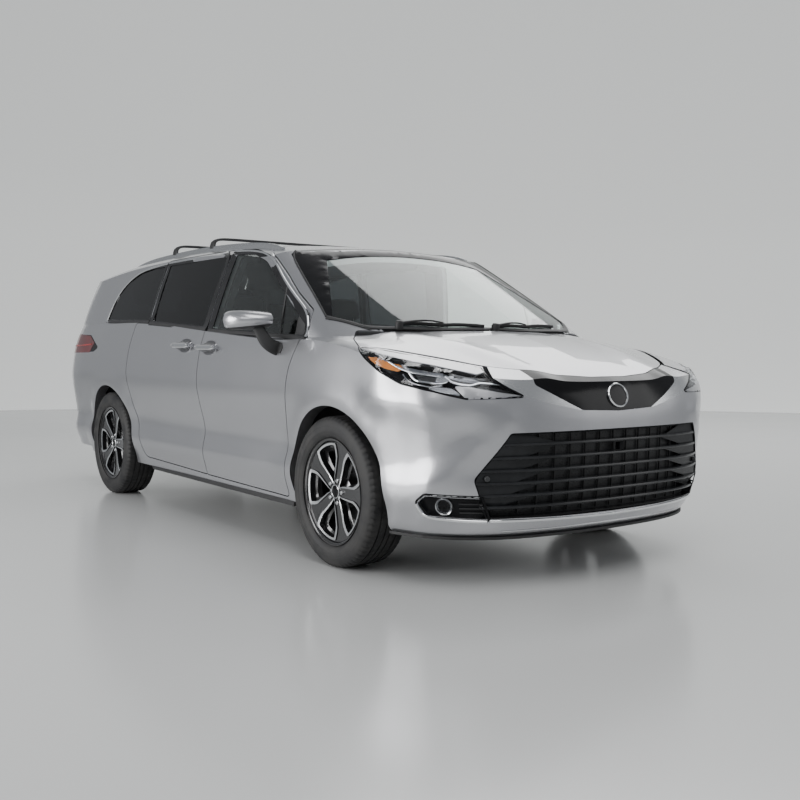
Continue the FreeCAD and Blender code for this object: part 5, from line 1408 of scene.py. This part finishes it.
# Closed pad before it is filled: v runs along it, u across, with raised bolsters at the sides of each place.
def padMesh(name, halfWidth, fromV, toV, low, high, places, bolster, roundness):
    across = 12 * places + 8
    along = 16
    mesh = bmesh.new()
    top = []
    for v in [-1 + 2 * j / along for j in range(along + 1)]:
        row = []
        for u in [-1 + 2 * i / across for i in range(across + 1)]:
            share = (u + 1) / 2 * places % 1 if places > 1 else (u + 1) / 2
            rise = bolster * min(max((abs(2 * share - 1) - 0.52) / 0.30, 0), 1) ** 1.5
            fall = 0.038 * max(abs(u) ** roundness, abs(v) ** (roundness * 0.8)) ** 3
            y = u * (halfWidth - 0.022 * abs(v) ** 4)
            row.append(mesh.verts.new((fromV + (toV - fromV) * (v + 1) / 2, y, high - bolster + rise - fall)))
        top.append(row)
    for a, b in zip(top, top[1:]):
        for i in range(across):
            mesh.faces.new((a[i], b[i], b[i + 1], a[i + 1]))
    solid = bmesh.ops.extrude_face_region(mesh, geom=mesh.faces[:])
    for vert in [g for g in solid["geom"] if isinstance(g, bmesh.types.BMVert)]:
        vert.co.z = low + (vert.co.z - high) * -0.25
    bmesh.ops.recalc_face_normals(mesh, faces=mesh.faces)
    return fromMesh(name, mesh)


# Put an object's modifiers into its mesh.
def applied(obj):
    depsgraph = bpy.context.evaluated_depsgraph_get()
    data = bpy.data.meshes.new_from_object(obj.evaluated_get(depsgraph))
    old = obj.data
    obj.modifiers.clear()
    obj.data = data
    bpy.data.meshes.remove(old)


# Remesh, then blow the pad up as cloth for twenty frames, with the travel of each point capped.
def filled(obj):
    remesh = obj.modifiers.new("remesh", "REMESH")
    remesh.mode = "VOXEL"
    remesh.voxel_size = seat["voxel"]
    applied(obj)
    smooth = obj.modifiers.new("smooth", "SMOOTH")
    smooth.iterations = 6
    smooth.factor = 0.5
    applied(obj)
    start = [v.co.copy() for v in obj.data.vertices]
    cloth = obj.modifiers.new("cloth", "CLOTH")
    cloth.settings.use_pressure = True
    cloth.settings.uniform_pressure_force = seat["pressure"]
    cloth.settings.effector_weights.gravity = 0
    cloth.settings.quality = 5
    cloth.settings.tension_stiffness = seat["stiffness"]
    cloth.settings.compression_stiffness = seat["stiffness"]
    cloth.point_cache.frame_start = 1
    cloth.point_cache.frame_end = seat["frames"]
    for step in range(1, seat["frames"] + 1):
        bpy.context.scene.frame_set(step)
    applied(obj)
    bpy.context.scene.frame_set(1)
    for vert, old in zip(obj.data.vertices, start):
        move = vert.co - old
        if move.length > seat["travel"]:
            vert.co = old + move.normalized() * seat["travel"]


# Sink seams into a pad; a line is an axis and a place on it, with the reach of the seam on the other axis.
def sewn(obj, lines):
    rises = [v.normal.z for v in obj.data.vertices]
    for vert, rise in zip(obj.data.vertices, rises):
        if rise < 0.15:
            continue
        sink = 0
        for axis, place, low, high in lines:
            if low < vert.co[1 - axis] < high:
                gap = (vert.co[axis] - place) / seat["seamWidth"]
                sink = max(sink, seat["seamDepth"] * math.exp(-gap * gap))
        vert.co.z -= sink


# Scale a pad's mesh so that it fills the box from low to high.
def fitted(obj, low, high):
    points = [v.co for v in obj.data.vertices]
    for axis in range(3):
        least = min(p[axis] for p in points)
        most = max(p[axis] for p in points)
        for p in points:
            p[axis] = low[axis] + (p[axis] - least) * (high[axis] - low[axis]) / (most - least)


# Cushion, back and head restraint about the seat's own place, filled and sewn.
def madePads(width, middles):
    half = width / 2
    places = len(middles)
    reach = seat["cushionHalf"]
    high = seat["backHigh"]
    cushion = padMesh("padCushion", half - 0.020, 0.015 - reach, reach - 0.015, 0.015, 0.095, places, 0.022,
                      6)
    filled(cushion)
    fitted(cushion, (-reach, 0.004 - half, seat["cushionLow"]), (reach, half - 0.004, seat["cushionHigh"]))
    back = padMesh("padBack", half - 0.034, 0.020, high - 0.020, 0.020, 0.100, places, 0.026, 7)
    filled(back)
    fitted(back, (0.004, 0.019 - half, 0), (high, half - 0.019, seat["backFront"] - seat["backRear"]))
    across = [middle + side * width / places * 0.27 for middle in middles for side in (-1, 1)]
    sewn(cushion,
         [(1, y, -reach, reach * 0.86) for y in across] + [(0, x, -half, half) for x in seat["cushionSeams"]])
    sewn(back, [(1, y, 0.06, 0.56) for y in across] + [(0, x, -half, half) for x in seat["backSeams"]])
    low, high, side = seat["restLow"], seat["restHigh"], seat["restHalf"]
    rest = padMesh("padRest", 0.100, low + 0.014, high - 0.014, 0.016, 0.082, 1, 0.0, 5)
    filled(rest)
    fitted(rest, (low, -side, 0.006), (high, side, 0.092))
    return cushion, back, rest


# Copy of a pad with each point put in its place, as a dark leather piece on the body.
def copied(source, name, place):
    points = [place(*v.co) for v in source.data.vertices]
    obj = placed(name, "body", darkLeather, points, [tuple(p.vertices) for p in source.data.polygons], 180)
    return obj


# Moulded base on two rails under a cushion.
def seatBase(name, middle, halfWidth, railDrop):
    mesh = bmesh.new()
    bmesh.ops.create_cube(mesh, size=1)
    for vert in mesh.verts:
        x, y, z = vert.co
        flare = 1.0 if z > 0 else seat["baseFlare"]
        vert.co = middle + Vector((x * 0.380 * flare - 0.020, y * 2 * halfWidth * flare,
                                   seat["baseHigh"] if z > 0 else seat["baseLow"]))
    bmesh.ops.bevel(mesh, geom=mesh.edges[:], offset=0.024, segments=4, profile=0.5, affect="EDGES",
                    material=-1)
    for offset in (-0.6, 0.6):
        for vert in bmesh.ops.create_cube(mesh, size=1)["verts"]:
            x, y, z = vert.co
            vert.co = middle + Vector((x * 0.400 - 0.020, offset * halfWidth + y * 0.040,
                                       z * 0.060 + 0.030 - railDrop))
    obj = fromMesh(name, mesh, blackPlastic)
    obj.data.shade_smooth()
    obj.data.set_sharp_from_angle(angle=math.radians(40))
    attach(obj, "body")


def seatRow(key, row):
    places = row["places"]
    width = row["width"]
    middles = [width / places * (k + 0.5) - width / 2 for k in range(places)]
    pads = madePads(width, middles)
    cushion, back, rest = pads
    lean = math.radians(seat["lean"])
    for side, hand in hands if row["y"] else ((1, ""),):
        tag = key + "_" + hand if hand else key
        middle = Vector((row["x"], row["y"] * side, row["level"]))

        # Point of a back or head restraint, given as up, across and forward, in the vehicle's frame.
        def leaned(up, across, forward):
            forward += seat["backRear"]
            x = seat["backFoot"][0] + forward * math.cos(lean) - up * math.sin(lean)
            z = seat["backFoot"][1] + forward * math.sin(lean) + up * math.cos(lean)
            return middle + Vector((x, across, z))

        first = copied(cushion, tag + "_cushion", lambda x, y, z: middle + Vector((x, y, z)))
        if side > 0:
            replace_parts(first, key)
        copied(back, tag + "_back", leaned)
        for k, y in enumerate(middles):
            copied(rest, "%s_rest%d" % (tag, k), lambda up, across, forward: leaned(up, across + y, forward))
            for end, offset in seat["stalkY"].items():
                stalk = [leaned(up, offset + y, 0.058) for up in (0.600, 0.640, 0.700)]
                swept("%s_stalk%d%s" % (tag, k, end), "body", chrome, stalk, oval(0.011, 0.011, 12, 1),
                      Vector((0, 1, 0)))
        seatBase(tag + "_base", middle, width / 2 - 0.050, row["railDrop"])
    for pad in pads:
        bpy.data.objects.remove(pad)


for key, row in seatRows.items():
    seatRow(key, row)

for obj in nodes.values():
    obj.data.shade_smooth()
    obj.data.set_sharp_from_angle(angle=math.radians(28))
